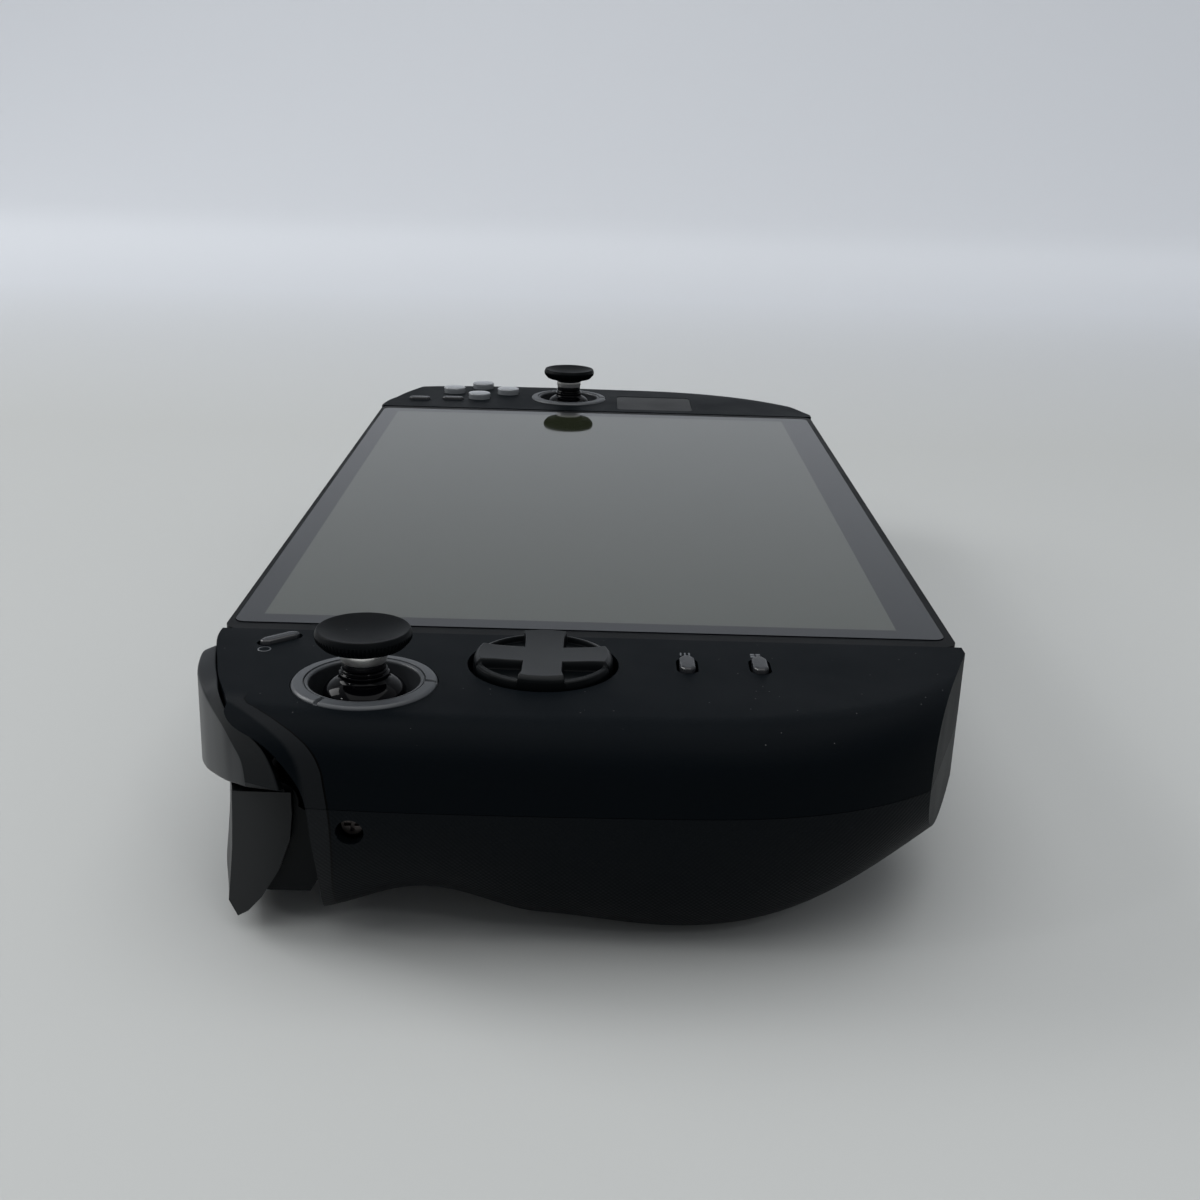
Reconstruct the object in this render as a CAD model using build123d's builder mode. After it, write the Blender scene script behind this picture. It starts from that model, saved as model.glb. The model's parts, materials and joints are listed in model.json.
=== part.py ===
from build123d import *
import os

os.makedirs("parts", exist_ok=True)

# A handheld game console: a tablet with two controllers that pull off its ends. Millimetres.
# X runs from the left controller to the right one, Y towards the bumpers and triggers, Z up.
# The origin is on the table, under the middle of the console, which lies on its grips, screen up.

# The whole console: the tablet, and the controllers that reach past it at its ends and edges
tablet_length = 205.4
tablet_depth = 134.1
controller_gap = 0.3
controller_width = 44.8
controller_lower_reach = 0.45
controller_upper_reach = 2.15
face_height = 42.3
tablet_side = tablet_length / 2
controller_inner = tablet_side + controller_gap
half_length = controller_inner + controller_width
console_depth = tablet_depth + controller_lower_reach + controller_upper_reach
half_depth = console_depth / 2
tablet_shift = (controller_lower_reach - controller_upper_reach) / 2

# Clearances and tool overruns
running_clearance = 0.06
moving_gap = 0.4
seat_gap = 0.1
cut_overrun = 3.0

# Tablet
tablet_thickness = 22.5
tablet_corner = 3.0
tablet_back = face_height - tablet_thickness
tablet_top_edge = tablet_shift + tablet_depth / 2
tablet_bottom_edge = tablet_shift - tablet_depth / 2
cover_height = 8.0
cover_wall = 2.2
cover_floor = 1.6
cover_top = tablet_back + cover_height
frame_wall = 3.0
frame_side_wall = 5.0
frame_rim_drop = 0.15
web_thickness = 1.2

# Screen
glass_side_margin = 3.5
glass_lower_margin = 1.6
glass_upper_margin = 1.1
glass_length = tablet_length - 2 * glass_side_margin
glass_depth = tablet_depth - glass_lower_margin - glass_upper_margin
glass_shift = tablet_shift + (glass_lower_margin - glass_upper_margin) / 2
glass_thickness = 1.1
glass_corner = 2.0
panel_side_margin = 4.45
panel_lower_margin = 8.3
panel_upper_margin = 4.7
panel_length = glass_length - 2 * panel_side_margin
panel_depth = glass_depth - panel_lower_margin - panel_upper_margin
panel_shift = glass_shift + (panel_lower_margin - panel_upper_margin) / 2
panel_thickness = 1.8
panel_top = face_height - glass_thickness - seat_gap
web_top = panel_top - panel_thickness - seat_gap
web_bottom = web_top - web_thickness

# What the tablet holds
inner_top = web_bottom - seat_gap
inner_upper_edge = tablet_top_edge - frame_wall
inner_lower_edge = tablet_bottom_edge + frame_wall
speaker_length = 14.0
speaker_depth = 24.0
speaker_in = 21.7
speaker_x = tablet_side - speaker_in
speaker_rise = 16.9
speaker_y = inner_lower_edge + speaker_rise
board_thickness = 1.6
mainboard_length = 84.0
mainboard_depth = 57.0
mainboard_x = -46.0
mainboard_margin = 6.2
mainboard_y = inner_upper_edge - mainboard_margin - mainboard_depth / 2
chip_size = 16.0
chip_height = 2.0
chip_along = 12.0
chip_x = mainboard_x + chip_along
chip_across = 17.5
chip_y = mainboard_y + chip_across
memory_length = 12.0
memory_depth = 9.0
memory_along = -16.0
memory_x = mainboard_x + memory_along
memory_across = -4.5
memory_y = mainboard_y + memory_across
battery_thickness = 9.0
battery_room = 6.0
battery_margin = 6.3
battery_board_gap = 6.6
battery_length = 2 * (speaker_x - speaker_length / 2 - battery_room)
battery_upper_edge = mainboard_y - mainboard_depth / 2 - battery_board_gap
battery_lower_edge = inner_lower_edge + battery_margin
battery_depth = battery_upper_edge - battery_lower_edge
battery_shift = (battery_upper_edge + battery_lower_edge) / 2
memory_pitch = 15.0
fan_x = 30.0
fan_below = 39.2
fan_y = inner_upper_edge - fan_below
fan_length = 54.0
fan_depth = 48.0
fan_thickness = 7.2
fan_wall = 0.8
fan_rotor_radius = 20.0
fan_bowl_radius = 21.2
fan_inlet_radius = 14.0
fan_hub_radius = 8.0
fan_shaft_radius = 1.0
fan_blade_thickness = 0.6
fan_blade_count = 24
fan_lift = 0.6
sink_depth = 11.0
sink_fin = 0.8
sink_fin_count = 18
sink_gap = 1.0
sink_pipe_radius = 1.8
sink_plate_thickness = 1.3
port_height = 33.0
usb_width = 9.0
usb_height = 3.3
usb_wall = 0.45
usb_length = 7.4
usb_tongue = 0.8
usb_top_x = -18.0
jack_in = 28.7
jack_x = tablet_side - jack_in
jack_radius = 1.8
jack_wall = 1.1
jack_length = 14.0
jack_body = 7.0

# Rails that the controllers slide onto
rail_length = 50.0
rail_height = 7.6
rail_depth = 3.5
rail_wall = 0.6

# Tablet screws
screw_head_radius = 1.8
screw_head_height = 1.3
screw_shank_radius = 0.95
screw_socket = 1.3
screw_socket_depth = 0.7
screw_boss_radius = 3.0
tablet_screw_in = 10.7
tablet_screw_x = tablet_side - tablet_screw_in
tablet_screw_edge = 9.55
tablet_screw_y = tablet_depth / 2 - tablet_screw_edge
tablet_screw_length = 12.0
tablet_screw_recess = 0.6
tablet_screw_tip = tablet_back + tablet_screw_recess + screw_head_height + tablet_screw_length

# Top edge keys
power_in = 24.7
power_x = power_in - tablet_side
power_length = 13.0
key_height = 3.6
key_proud = 0.9
key_flange = 1.0
volume_in = 52.7
volume_x = volume_in - tablet_side
volume_length = 24.0
volume_pin_radius = 0.8
volume_pin_reach = 1.3
key_swing_room = 0.35

# Kickstand
stand_length = 160.0
stand_depth = 52.0
stand_thickness = 2.4
stand_lift = 0.2
stand_margin = 5.9
stand_hinge_y = inner_lower_edge + stand_margin + stand_depth
stand_recess = 2.9
stand_floor = 1.4
stand_pin_radius = 0.6
stand_pin_length = 5.0
stand_notch_length = 26.0
stand_notch_depth = 4.0

# Vents in the rear cover and the top edge
vent_width = 2.0
vent_length = 34.0
vent_pitch = 4.2
vent_count = 11
exhaust_count = 9
exhaust_width = 3.6
exhaust_height = 4.6
speaker_slot_count = 5
speaker_slot_width = 1.4
speaker_slot_height = 3.0
speaker_slot_pitch = 2.8

# Controller shells
shell_wall = 2.2
inner_edge_drop = 23.0
seam_drop = 13.6
seam_gap = 0.1
seam_height = face_height - seam_drop

# Sections of the controller from the shoulder to the bottom end: the place along Y as a share of half
# the depth, then the start of the soft edge, the widest point and the lowest point as shares of the
# controller's width, and the depth of the lowest point as a share of the face's height.
section_shares = [
    (1.060, 0.62, 0.86, 0.43, 0.925),
    (0.850, 0.71, 0.94, 0.45, 0.945),
    (0.660, 0.775, 0.980, 0.47, 0.970),
    (0.545, 0.795, 0.990, 0.47, 0.912),
    (0.425, 0.805, 0.997, 0.47, 0.848),
    (0.250, 0.810, 1.000, 0.47, 0.885),
    (0.060, 0.805, 1.000, 0.48, 0.955),
    (-0.170, 0.790, 0.994, 0.48, 1.000),
    (-0.400, 0.760, 0.976, 0.465, 0.984),
    (-0.600, 0.670, 0.910, 0.400, 0.890),
    (-0.760, 0.540, 0.795, 0.320, 0.760),
    (-0.895, 0.360, 0.640, 0.240, 0.650),
    (-1.060, 0.080, 0.430, 0.150, 0.530),
]
# How the section bends between those points, each as a share of the step it belongs to
soft_edge_shares = (0.72, 0.20)
palm_bend_shares = (0.80, 0.62)
palm_rise_shares = (-1.0, 0.55)

# The flat at the bottom corner, and its draft
corner_start_in = 41.8
corner_start_x = half_length - corner_start_in
corner_end_in = 13.8
corner_end_x = half_length - corner_end_in
corner_end_rise = 10.45
corner_end_y = corner_end_rise - half_depth
wall_draft_share = -0.01

# The line where the bumper meets the face, as shares of the controller's width and of half the depth
shoulder_line_shares = [
    (0.0, 0.9685),
    (0.120, 0.9640),
    (0.326, 0.9300),
    (0.478, 0.9040),
    (0.600, 0.8760),
    (0.757, 0.8370),
]
# The rim beside the trigger, seen from the end: shares of half the depth and of the face's height down
rim_line_shares = [
    (0.880, -0.060),
    (0.848, 0.000),
    (0.828, 0.030),
    (0.741, 0.088),
    (0.680, 0.168),
    (0.646, 0.250),
    (0.632, 0.342),
    (0.627, 0.445),
    (0.621, 0.570),
    (0.620, 0.695),
    (0.624, 0.800),
    (0.634, 0.930),
    (0.650, 1.060),
]
rim_inner_in = 12.3
rim_inner_x = half_length - rim_inner_in

# Trigger pocket behind the rim
pocket_inner_out = 4.4
pocket_inner_x = controller_inner + pocket_inner_out
pocket_top_drop = 3.4
pocket_upper_below = 22.85
pocket_upper_y = half_depth - pocket_upper_below
pocket_lower_below = 28.45
pocket_lower_y = half_depth - pocket_lower_below
pocket_step_drop = 18.6
pocket_wall = 1.4

# Bumper
bumper_end_in = 5.4
bumper_end_x = half_length - bumper_end_in
bumper_end_below = 19.95
bumper_end_y = half_depth - bumper_end_below
bumper_corner_in = 9.2
bumper_corner_x = half_length - bumper_corner_in
bumper_corner_below = 12.75
bumper_corner_y = half_depth - bumper_corner_below
bumper_outer_shares = [
    (0.013, 0.9990),
    (0.200, 0.9930),
    (0.380, 0.9740),
    (0.536, 0.9380),
    (0.670, 0.8860),
]
bumper_skin = 4.4
bumper_gap_start = 0.55
bumper_gap_end = 1.5
bumper_depth_near = 22.0
bumper_depth_far = 13.4
bumper_rim_gap = 1.3
bumper_pivot_out = 7.6
bumper_pivot_x = controller_inner + bumper_pivot_out
bumper_pivot_below = 6.85
bumper_pivot_y = half_depth - bumper_pivot_below
bumper_post_radius = 1.3
bumper_knuckle_radius = 2.7
bumper_knuckle_top = 5.0
bumper_knuckle_height = 5.0
bumper_arm_half = 1.8
# The top of the bumper over the shell's shoulder: shares of the controller's width and the face's height
bumper_top_shares = [
    (0.560, 0.007),
    (0.640, 0.030),
    (0.759, 0.075),
    (0.848, 0.150),
    (0.893, 0.225),
    (0.930, 0.320),
]

# Trigger
trigger_pivot_below = 17.85
trigger_pivot_y = half_depth - trigger_pivot_below
trigger_pivot_drop = 18.6
trigger_inner_out = 4.9
trigger_inner_x = controller_inner + trigger_inner_out
trigger_outer_in = 11.0
trigger_outer_x = half_length - trigger_outer_in
trigger_cheek_in = 12.9
trigger_cheek_x = half_length - trigger_cheek_in
trigger_hub_radius = 3.6
trigger_pin_radius = 1.5
trigger_rib_out = 19.0
trigger_rib_x = controller_inner + trigger_rib_out
trigger_rib_thickness = 2.0
trigger_rib_radius = 2.6
trigger_slot_room = 0.4
trigger_stub_length = 1.5
trigger_slot_fall = 4.8
trigger_top_near = 23.6
trigger_top_far = 16.0
# The blade seen from the end, out from the pivot line along Y and down from the face
blade_outline = [
    (6.8, 14.0),
    (7.0, 20.0),
    (7.3, 26.0),
    (7.9, 32.0),
    (8.4, 36.2),
    (7.0, 39.2),
    (5.2, 38.2),
    (2.8, 35.5),
    (-0.3, 30.3),
    (-2.3, 24.7),
    (-2.8, 20.0),
    (-2.8, 14.0),
]
blade_station_shares = (0.0, 0.315, 0.678, 1.0)
blade_bow = (5.2, 4.9, 2.4, 0.0)
# The cheek beside the blade, in the same measures
cheek_outline = [
    (-2.4, 18.6),
    (-5.9, 21.0),
    (-6.3, 33.0),
    (-5.0, 35.2),
    (3.0, 35.2),
    (3.0, 18.6),
]

# Sticks
left_stick_out = 24.3
left_stick_x = controller_inner + left_stick_out
left_stick_below = 31.65
left_stick_y = half_depth - left_stick_below
right_stick_out = 20.0
right_stick_x = controller_inner + right_stick_out
right_stick_below = 59.95
right_stick_y = half_depth - right_stick_below
stick_pivot_drop = 9.0
stick_ring_radius = 12.15
stick_ring_proud = 0.35
stick_ring_thickness = 1.6
stick_well_radius = 9.2
stick_tube_wall = 1.1
stick_tube_drop = 5.0
stick_dome_radius = 8.0
stick_dome_wall = 1.0
stick_dome_reach = 6.1
stick_base_half = 7.2
stick_base_wall = 1.4
stick_base_rise = 2.2
stick_base_fall = 6.2
stick_yoke_half_x = 4.9
stick_yoke_half_y = 4.0
stick_yoke_half_z = 1.5
stick_yoke_slot_x = 2.8
stick_yoke_slot_y = 2.5
stick_axle_radius = 1.1
stick_pin_radius = 0.8
stick_post_radius = 1.7
stick_post_fall = 3.0
stick_neck_radius = 4.3
stick_bell_radius = 3.3
stick_bell_top = 3.4
stick_band_radius = 2.7
stick_band_top = 5.2
stick_cap_radius = 8.15
stick_cap_rim = 7.2
stick_cap_top = 10.0
stick_cap_dip = 1.1
stick_cap_edge_top = 9.2
stick_cap_edge_bottom = 7.4
stick_cap_collar = 3.7
stick_cap_socket = 2.4
stick_cap_socket_top = 7.3
stick_cap_under = 6.0
stick_axle_reach = 7.1
stick_pin_reach = 3.9

# Direction pad
dpad_out = 13.6
dpad_x = controller_inner + dpad_out
dpad_below = 60.95
dpad_y = half_depth - dpad_below
dpad_well_radius = 13.1
dpad_well_drop = 3.4
dpad_well_floor = 1.4
dpad_dish_radius = 12.3
dpad_dish_top = 0.5
dpad_dish_bottom = 1.7
dpad_arm_width = 8.2
dpad_arm_top = 2.3
dpad_arm_round = 0.7
dpad_pivot_drop = 6.5
dpad_stem_radius = 2.1
dpad_stem_fall = 1.9
dpad_hole_radius = 3.2
rocker_half_x = 4.8
rocker_half_y = 3.8
rocker_half_z = 1.2
rocker_slot_x = 2.7
rocker_slot_y = 2.5
rocker_pin_radius = 0.7
rocker_axle_radius = 0.8
rocker_ear_x = 5.3
rocker_ear_thickness = 1.8
rocker_ear_half_y = 2.0
rocker_ear_reach = 1.7
rocker_axle_reach = 6.9

# Buttons on the faces: a cap in its hole and a flange under the wall
button_hole_gap = 0.2
button_flange = 0.9
button_flange_top_drop = 2.6
button_flange_thickness = 1.0
face_button_out = 25.2
face_button_x = controller_inner + face_button_out
face_button_below = 31.05
face_button_y = half_depth - face_button_below
face_button_spread = 8.8
face_button_radius = 3.55
face_button_proud = 1.9
face_button_round = 0.6
face_button_travel = 1.0
pill_length = 7.0
pill_width = 3.4
pill_proud = 1.3
pill_round = 0.4
view_button_out = 13.0
view_button_x = controller_inner + view_button_out
view_button_below = 85.95
view_button_y = half_depth - view_button_below
menu_button_out = 12.5
menu_button_x = controller_inner + menu_button_out
menu_button_below = 98.65
menu_button_y = half_depth - menu_button_below
home_length = 8.4
home_width = 2.8
home_proud = 1.1
home_out = 5.2
home_x = controller_inner + home_out
home_below = 13.65
home_y = half_depth - home_below
home_turn = 48.0
side_pill_length = 6.6
side_pill_width = 2.9
capture_out = 11.6
capture_x = controller_inner + capture_out
capture_below = 12.35
capture_y = half_depth - capture_below
right_home_out = 13.0
right_home_x = controller_inner + right_home_out
right_home_below = 22.85
right_home_y = half_depth - right_home_below

# Touch pad
pad_length = 21.0
pad_depth = 23.8
pad_out = 14.5
pad_x = controller_inner + pad_out
pad_below = 87.65
pad_y = half_depth - pad_below
pad_corner = 2.0
pad_thickness = 1.5

# Controller insides
side_plate_thickness = 1.8
side_plate_gap = 0.15
controller_board_drop = 15.3
controller_board_out = 2.6
controller_board_x = controller_inner + controller_board_out
controller_board_far_out = 28.0
controller_board_far_x = controller_inner + controller_board_far_out
controller_board_hole = 3.4
controller_board_y = -42.0
controller_board_far_y = 38.0
controller_battery_out = 21.0
controller_battery_x = controller_inner + controller_battery_out
controller_battery_y = -6.0
controller_battery_length = 22.0
controller_battery_depth = 40.0
controller_battery_thickness = 5.6

# Controller screws: one into the end, two up from the back
end_screw_below = 31.85
end_screw_y = half_depth - end_screw_below
end_screw_drop = 17.6
end_screw_boss = 2.7
end_screw_head_in = 5.0
end_screw_head_x = half_length - end_screw_head_in
end_screw_length = 5.2
end_screw_recess = 2.25
# Their places, out from the tablet and below the upper edge
back_screw_places = [(9.5, 116.35), (7.5, 38.35)]
back_screw_points = [(controller_inner + out, half_depth - below) for out, below in back_screw_places]
back_screw_head_drop = 27.6
back_screw_boss_drop = 29.5
back_screw_length = 18.0
back_screw_tip = face_height - back_screw_head_drop + screw_head_height + back_screw_length
back_screw_boss = 3.0

# Buttons on the back of each controller, pressed upwards into the shell
back_button_proud = 0.8
back_button_flange = 0.9
back_button_corner = 1.8
back_button_top_drop = 26.0
release_button_top_drop = 21.4
# Their places in the same way, then their length, depth and how far down their tops are
back_button_places = {
    "upper_rear_button": (19.4, 41.35, 15.0, 8.4, back_button_top_drop),
    "lower_rear_button": (19.4, 56.85, 15.0, 10.0, back_button_top_drop),
    "release_button": (6.2, 74.35, 4.4, 15.0, release_button_top_drop),
}
back_buttons = {
    name: (controller_inner + out, half_depth - below, length, depth, drop)
    for name, (out, below, length, depth, drop) in back_button_places.items()
}


def face_down(drop):
    """Height of a point that lies a given distance below the controller's face."""
    return face_height - drop


def spread(share):
    """Place along X of a share of the controller's width, counted from the tablet."""
    return controller_inner + share * controller_width


def section_plane(y):
    """Upright plane across the console at a place along Y, with X to the right and Z up."""
    return Plane(origin=(0, y, 0), x_dir=(1, 0, 0), z_dir=(0, -1, 0))


def end_plane(x):
    """Upright plane seen from the end of the console, with Y to the right and Z up."""
    return Plane(origin=(x, 0, 0), x_dir=(0, 1, 0), z_dir=(1, 0, 0))


def slab(x_range, y_range, z_range):
    """A block between two corners, as a finished part."""
    with BuildPart() as block:
        with BuildSketch(Plane.XY.offset(z_range[0])):
            with Locations(((x_range[0] + x_range[1]) / 2, (y_range[0] + y_range[1]) / 2)):
                Rectangle(x_range[1] - x_range[0], y_range[1] - y_range[0])
        extrude(amount=z_range[1] - z_range[0])
    return block.part


def slab_between(low_x, thickness):
    """A full-size block across the controller, between two places along X."""
    return slab((low_x, low_x + thickness), (-console_depth, console_depth), (-face_height, 2 * face_height))


def controller_form(inset):
    """The outer form of the right controller, drawn in by a wall's thickness, and open at the tablet."""
    open_x = controller_inner - cut_overrun
    with BuildPart() as form:
        for y_share, roll_share, out_share, low_x_share, low_share in section_shares:
            roll_x = spread(roll_share) - inset
            out_x = spread(out_share) - inset
            low_x = spread(low_x_share)
            top_z = face_height - inset
            low_z = face_height * (1 - low_share) + inset
            inner_z = face_down(inner_edge_drop) + inset
            edge_x = roll_x + soft_edge_shares[0] * (out_x - roll_x)
            edge_z = top_z - soft_edge_shares[1] * (top_z - seam_height)
            palm_x = low_x + palm_bend_shares[0] * (out_x - low_x)
            palm_z = seam_height - palm_bend_shares[1] * (seam_height - low_z)
            with BuildSketch(section_plane(y_share * half_depth)):
                with BuildLine():
                    Polyline(
                        (controller_inner, inner_z),
                        (open_x, inner_z),
                        (open_x, top_z),
                        (roll_x, top_z),
                    )
                    Spline(
                        (roll_x, top_z),
                        (edge_x, edge_z),
                        (out_x, seam_height),
                        tangents=[(1, 0), (0, -1)],
                    )
                    Spline(
                        (out_x, seam_height),
                        (palm_x, palm_z),
                        (low_x, low_z),
                        tangents=[(0, -1), (-1, 0)],
                    )
                    Spline(
                        (low_x, low_z),
                        (controller_inner, inner_z),
                        tangents=[(-1, 0), palm_rise_shares],
                    )
                make_face()
        loft()
        corner_run = Vector(corner_end_x - corner_start_x, corner_end_y + half_depth, 0).normalized()
        corner_out = Vector(corner_run.Y, -corner_run.X, wall_draft_share)
        bottom_out = Vector(0, -1, wall_draft_share)
        for outward in (corner_out, bottom_out):
            wall_plane = Plane(origin=(corner_start_x, -half_depth, face_height), z_dir=outward)
            with BuildSketch(wall_plane.offset(-inset)):
                Rectangle(2 * half_length, 2 * half_length)
            extrude(amount=console_depth, mode=Mode.SUBTRACT)
    return form.part


def plan_prism(points_shares, low_z, high_z, gap_start=0.0, gap_end=0.0):
    """Everything on the shoulder side of a line in plan, between two heights."""
    last = len(points_shares) - 1
    line_points = []
    for index, (x_share, y_share) in enumerate(points_shares):
        gap = gap_start + (gap_end - gap_start) * index / last
        line_points.append((spread(x_share), y_share * half_depth + gap))
    first_x = line_points[0][0]
    first_y = line_points[0][1]
    last_x = line_points[-1][0]
    last_y = line_points[-1][1]
    with BuildPart() as prism:
        with BuildSketch(Plane.XY.offset(low_z)):
            with BuildLine():
                Spline(*line_points)
                Polyline(
                    (last_x, last_y),
                    (half_length + cut_overrun, last_y),
                    (half_length + cut_overrun, console_depth),
                    (first_x - cut_overrun, console_depth),
                    (first_x - cut_overrun, first_y),
                    (first_x, first_y),
                )
            make_face()
        extrude(amount=high_z - low_z)
    return prism.part


def rim_prism(start_x, gap):
    """Everything past the rim line beside the trigger, from a place along X to beyond the end."""
    rim_points = [(y * half_depth + gap, face_height * (1 - z)) for y, z in rim_line_shares]
    top_z = rim_points[0][1]
    low_z = rim_points[-1][1]
    with BuildPart() as prism:
        with BuildSketch(end_plane(start_x)):
            with BuildLine():
                Spline(*rim_points)
                Polyline(
                    (rim_points[-1][0], low_z),
                    (console_depth, low_z),
                    (console_depth, top_z),
                    (rim_points[0][0], top_z),
                )
            make_face()
        extrude(amount=half_length)
    return prism.part


# Outer form and hollow of the right controller, kept for the shells, plates and back buttons
outer_form = controller_form(0)
hollow_form = controller_form(shell_wall)
plate_form = controller_form(shell_wall + side_plate_gap)
proud_form = Pos(0, 0, -back_button_proud) * outer_form
flange_form = controller_form(shell_wall + moving_gap)
flange_top_form = Pos(0, 0, back_button_flange) * flange_form
rim_space = rim_prism(rim_inner_x, 0)
shoulder_space = plan_prism(shoulder_line_shares, -cut_overrun, face_height + cut_overrun)
pocket_upper = slab(
    (pocket_inner_x, rim_inner_x),
    (pocket_upper_y, half_depth + cut_overrun),
    (-cut_overrun, face_down(pocket_top_drop)),
)
pocket_lower = slab(
    (pocket_inner_x, rim_inner_x),
    (pocket_lower_y, half_depth + cut_overrun),
    (-cut_overrun, face_down(pocket_step_drop)),
)
solid_upper = slab(
    (0, half_length + cut_overrun),
    (pocket_upper_y - pocket_wall, console_depth),
    (-cut_overrun, face_height + cut_overrun),
)
solid_lower = slab(
    (0, half_length + cut_overrun),
    (pocket_lower_y - pocket_wall, console_depth),
    (-cut_overrun, face_down(pocket_step_drop) + pocket_wall),
)
# What the side plate keeps clear of, and what the bumper keeps clear of beside the rim
solid_upper_near = slab(
    (0, half_length),
    (pocket_upper_y - pocket_wall - seat_gap, console_depth),
    (0, face_height),
)
solid_lower_near = slab(
    (0, half_length),
    (pocket_lower_y - pocket_wall - seat_gap, console_depth),
    (0, face_down(pocket_step_drop) + pocket_wall + seat_gap),
)
with BuildPart() as rim_keep:
    add(slab((rim_inner_x - moving_gap, half_length + cut_overrun), (0, console_depth), (0, 2 * face_height)))
    add(rim_prism(0, bumper_rim_gap), mode=Mode.SUBTRACT)
rim_zone = rim_keep.part

with BuildPart() as hollow:
    add(hollow_form)
    add(solid_upper, mode=Mode.SUBTRACT)
    add(solid_lower, mode=Mode.SUBTRACT)

with BuildPart() as shell_blank:
    add(outer_form)
    split(bisect_by=Plane.YZ.offset(controller_inner), keep=Keep.TOP)
    add(hollow.part, mode=Mode.SUBTRACT)
    add(rim_space, mode=Mode.SUBTRACT)
    add(shoulder_space, mode=Mode.SUBTRACT)
    add(pocket_upper, mode=Mode.SUBTRACT)
    add(pocket_lower, mode=Mode.SUBTRACT)

with BuildPart() as front_blank:
    add(shell_blank.part)
    split(bisect_by=Plane.XY.offset(seam_height + seam_gap / 2), keep=Keep.TOP)
    # bosses that the back screws bite into
    with BuildSketch(Plane.XY.offset(seam_height + seam_gap / 2)):
        with Locations(*back_screw_points):
            Circle(back_screw_boss)
    extrude(amount=seam_drop - shell_wall)
    with BuildSketch(Plane.XY.offset(seam_height)):
        with Locations(*back_screw_points):
            Circle(screw_shank_radius + running_clearance)
    extrude(amount=back_screw_tip - seam_height + seat_gap, mode=Mode.SUBTRACT)
    # post that the bumper swings on
    with BuildSketch(Plane.XY.offset(face_down(bumper_knuckle_top + bumper_knuckle_height))):
        with Locations((bumper_pivot_x, bumper_pivot_y)):
            Circle(bumper_post_radius)
    extrude(amount=bumper_knuckle_top + bumper_knuckle_height - pocket_top_drop)

with BuildPart() as rear_blank:
    add(shell_blank.part)
    split(bisect_by=Plane.XY.offset(seam_height - seam_gap / 2), keep=Keep.BOTTOM)
    # bosses for the two back screws, with recesses for their heads
    with BuildSketch(Plane.XY.offset(face_down(back_screw_boss_drop))):
        with Locations(*back_screw_points):
            Circle(back_screw_boss)
    extrude(amount=back_screw_boss_drop - seam_drop - seam_gap)
    with BuildSketch(Plane.XY):
        with Locations(*back_screw_points):
            Circle(screw_head_radius + running_clearance)
    extrude(amount=face_down(back_screw_head_drop) + screw_head_height, mode=Mode.SUBTRACT)
    with BuildSketch(Plane.XY.offset(face_down(back_screw_head_drop))):
        with Locations(*back_screw_points):
            Circle(screw_shank_radius + running_clearance)
    extrude(amount=back_screw_length, mode=Mode.SUBTRACT)
    # boss and recess for the screw in the end
    with BuildSketch(end_plane(rim_inner_x)):
        with Locations((end_screw_y, face_down(end_screw_drop))):
            Circle(end_screw_boss)
    extrude(amount=end_screw_head_x - rim_inner_x)
    with BuildSketch(end_plane(end_screw_head_x)):
        with Locations((end_screw_y, face_down(end_screw_drop))):
            Circle(end_screw_recess)
    extrude(amount=half_length, mode=Mode.SUBTRACT)
    with BuildSketch(end_plane(end_screw_head_x - end_screw_length - seat_gap)):
        with Locations((end_screw_y, face_down(end_screw_drop))):
            Circle(screw_shank_radius + running_clearance)
    extrude(amount=end_screw_length + cut_overrun, mode=Mode.SUBTRACT)
    # rib and bearing holes that carry the trigger
    with BuildSketch(end_plane(trigger_rib_x - trigger_rib_thickness / 2)):
        with Locations((trigger_pivot_y, face_down(trigger_pivot_drop))):
            Circle(trigger_rib_radius)
        with Locations(((trigger_pivot_y + pocket_upper_y) / 2, face_down(trigger_pivot_drop))):
            Rectangle(trigger_pivot_y - pocket_upper_y + pocket_wall, 2 * trigger_rib_radius)
    extrude(amount=trigger_rib_thickness)
    with BuildSketch(end_plane(pocket_inner_x - pocket_wall)):
        with Locations((trigger_pivot_y, face_down(trigger_pivot_drop))):
            Circle(trigger_pin_radius + running_clearance)
    extrude(amount=trigger_cheek_x - pocket_inner_x, mode=Mode.SUBTRACT)
    # windows for the buttons on the back
    for x, y, length, depth, top_drop in back_buttons.values():
        with BuildSketch(Plane.XY):
            with Locations((x, y)):
                RectangleRounded(length, depth, back_button_corner)
        extrude(amount=face_down(top_drop), mode=Mode.SUBTRACT)


def to_side(piece, side):
    """The right controller's piece, or its mirror image for the left controller."""
    return mirror(piece, about=Plane.YZ) if side == "left" else piece


def screw(seat, length):
    """A pan head screw. The seat is the plane under its head, facing along its shank."""
    with BuildPart() as fastener:
        with BuildSketch(seat):
            Circle(screw_shank_radius)
        extrude(amount=length)
        with BuildSketch(seat):
            Circle(screw_head_radius)
        extrude(amount=-screw_head_height)
        with BuildSketch(seat.offset(-screw_head_height)):
            Rectangle(2 * screw_socket, screw_socket / 2)
            Rectangle(screw_socket / 2, 2 * screw_socket)
        extrude(amount=screw_socket_depth, mode=Mode.SUBTRACT)
    return fastener.part


def top_edge_plane(x, depth=0.0):
    """Plane on the tablet's shoulder edge, or a depth inside it, facing outwards."""
    return Plane(origin=(x, tablet_top_edge - depth, port_height), x_dir=(1, 0, 0), z_dir=(0, 1, 0))


def bottom_edge_plane(x, depth=0.0):
    """Plane on the tablet's lower edge, or a depth inside it, facing outwards."""
    return Plane(origin=(x, tablet_bottom_edge + depth, port_height), x_dir=(1, 0, 0), z_dir=(0, -1, 0))


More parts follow.
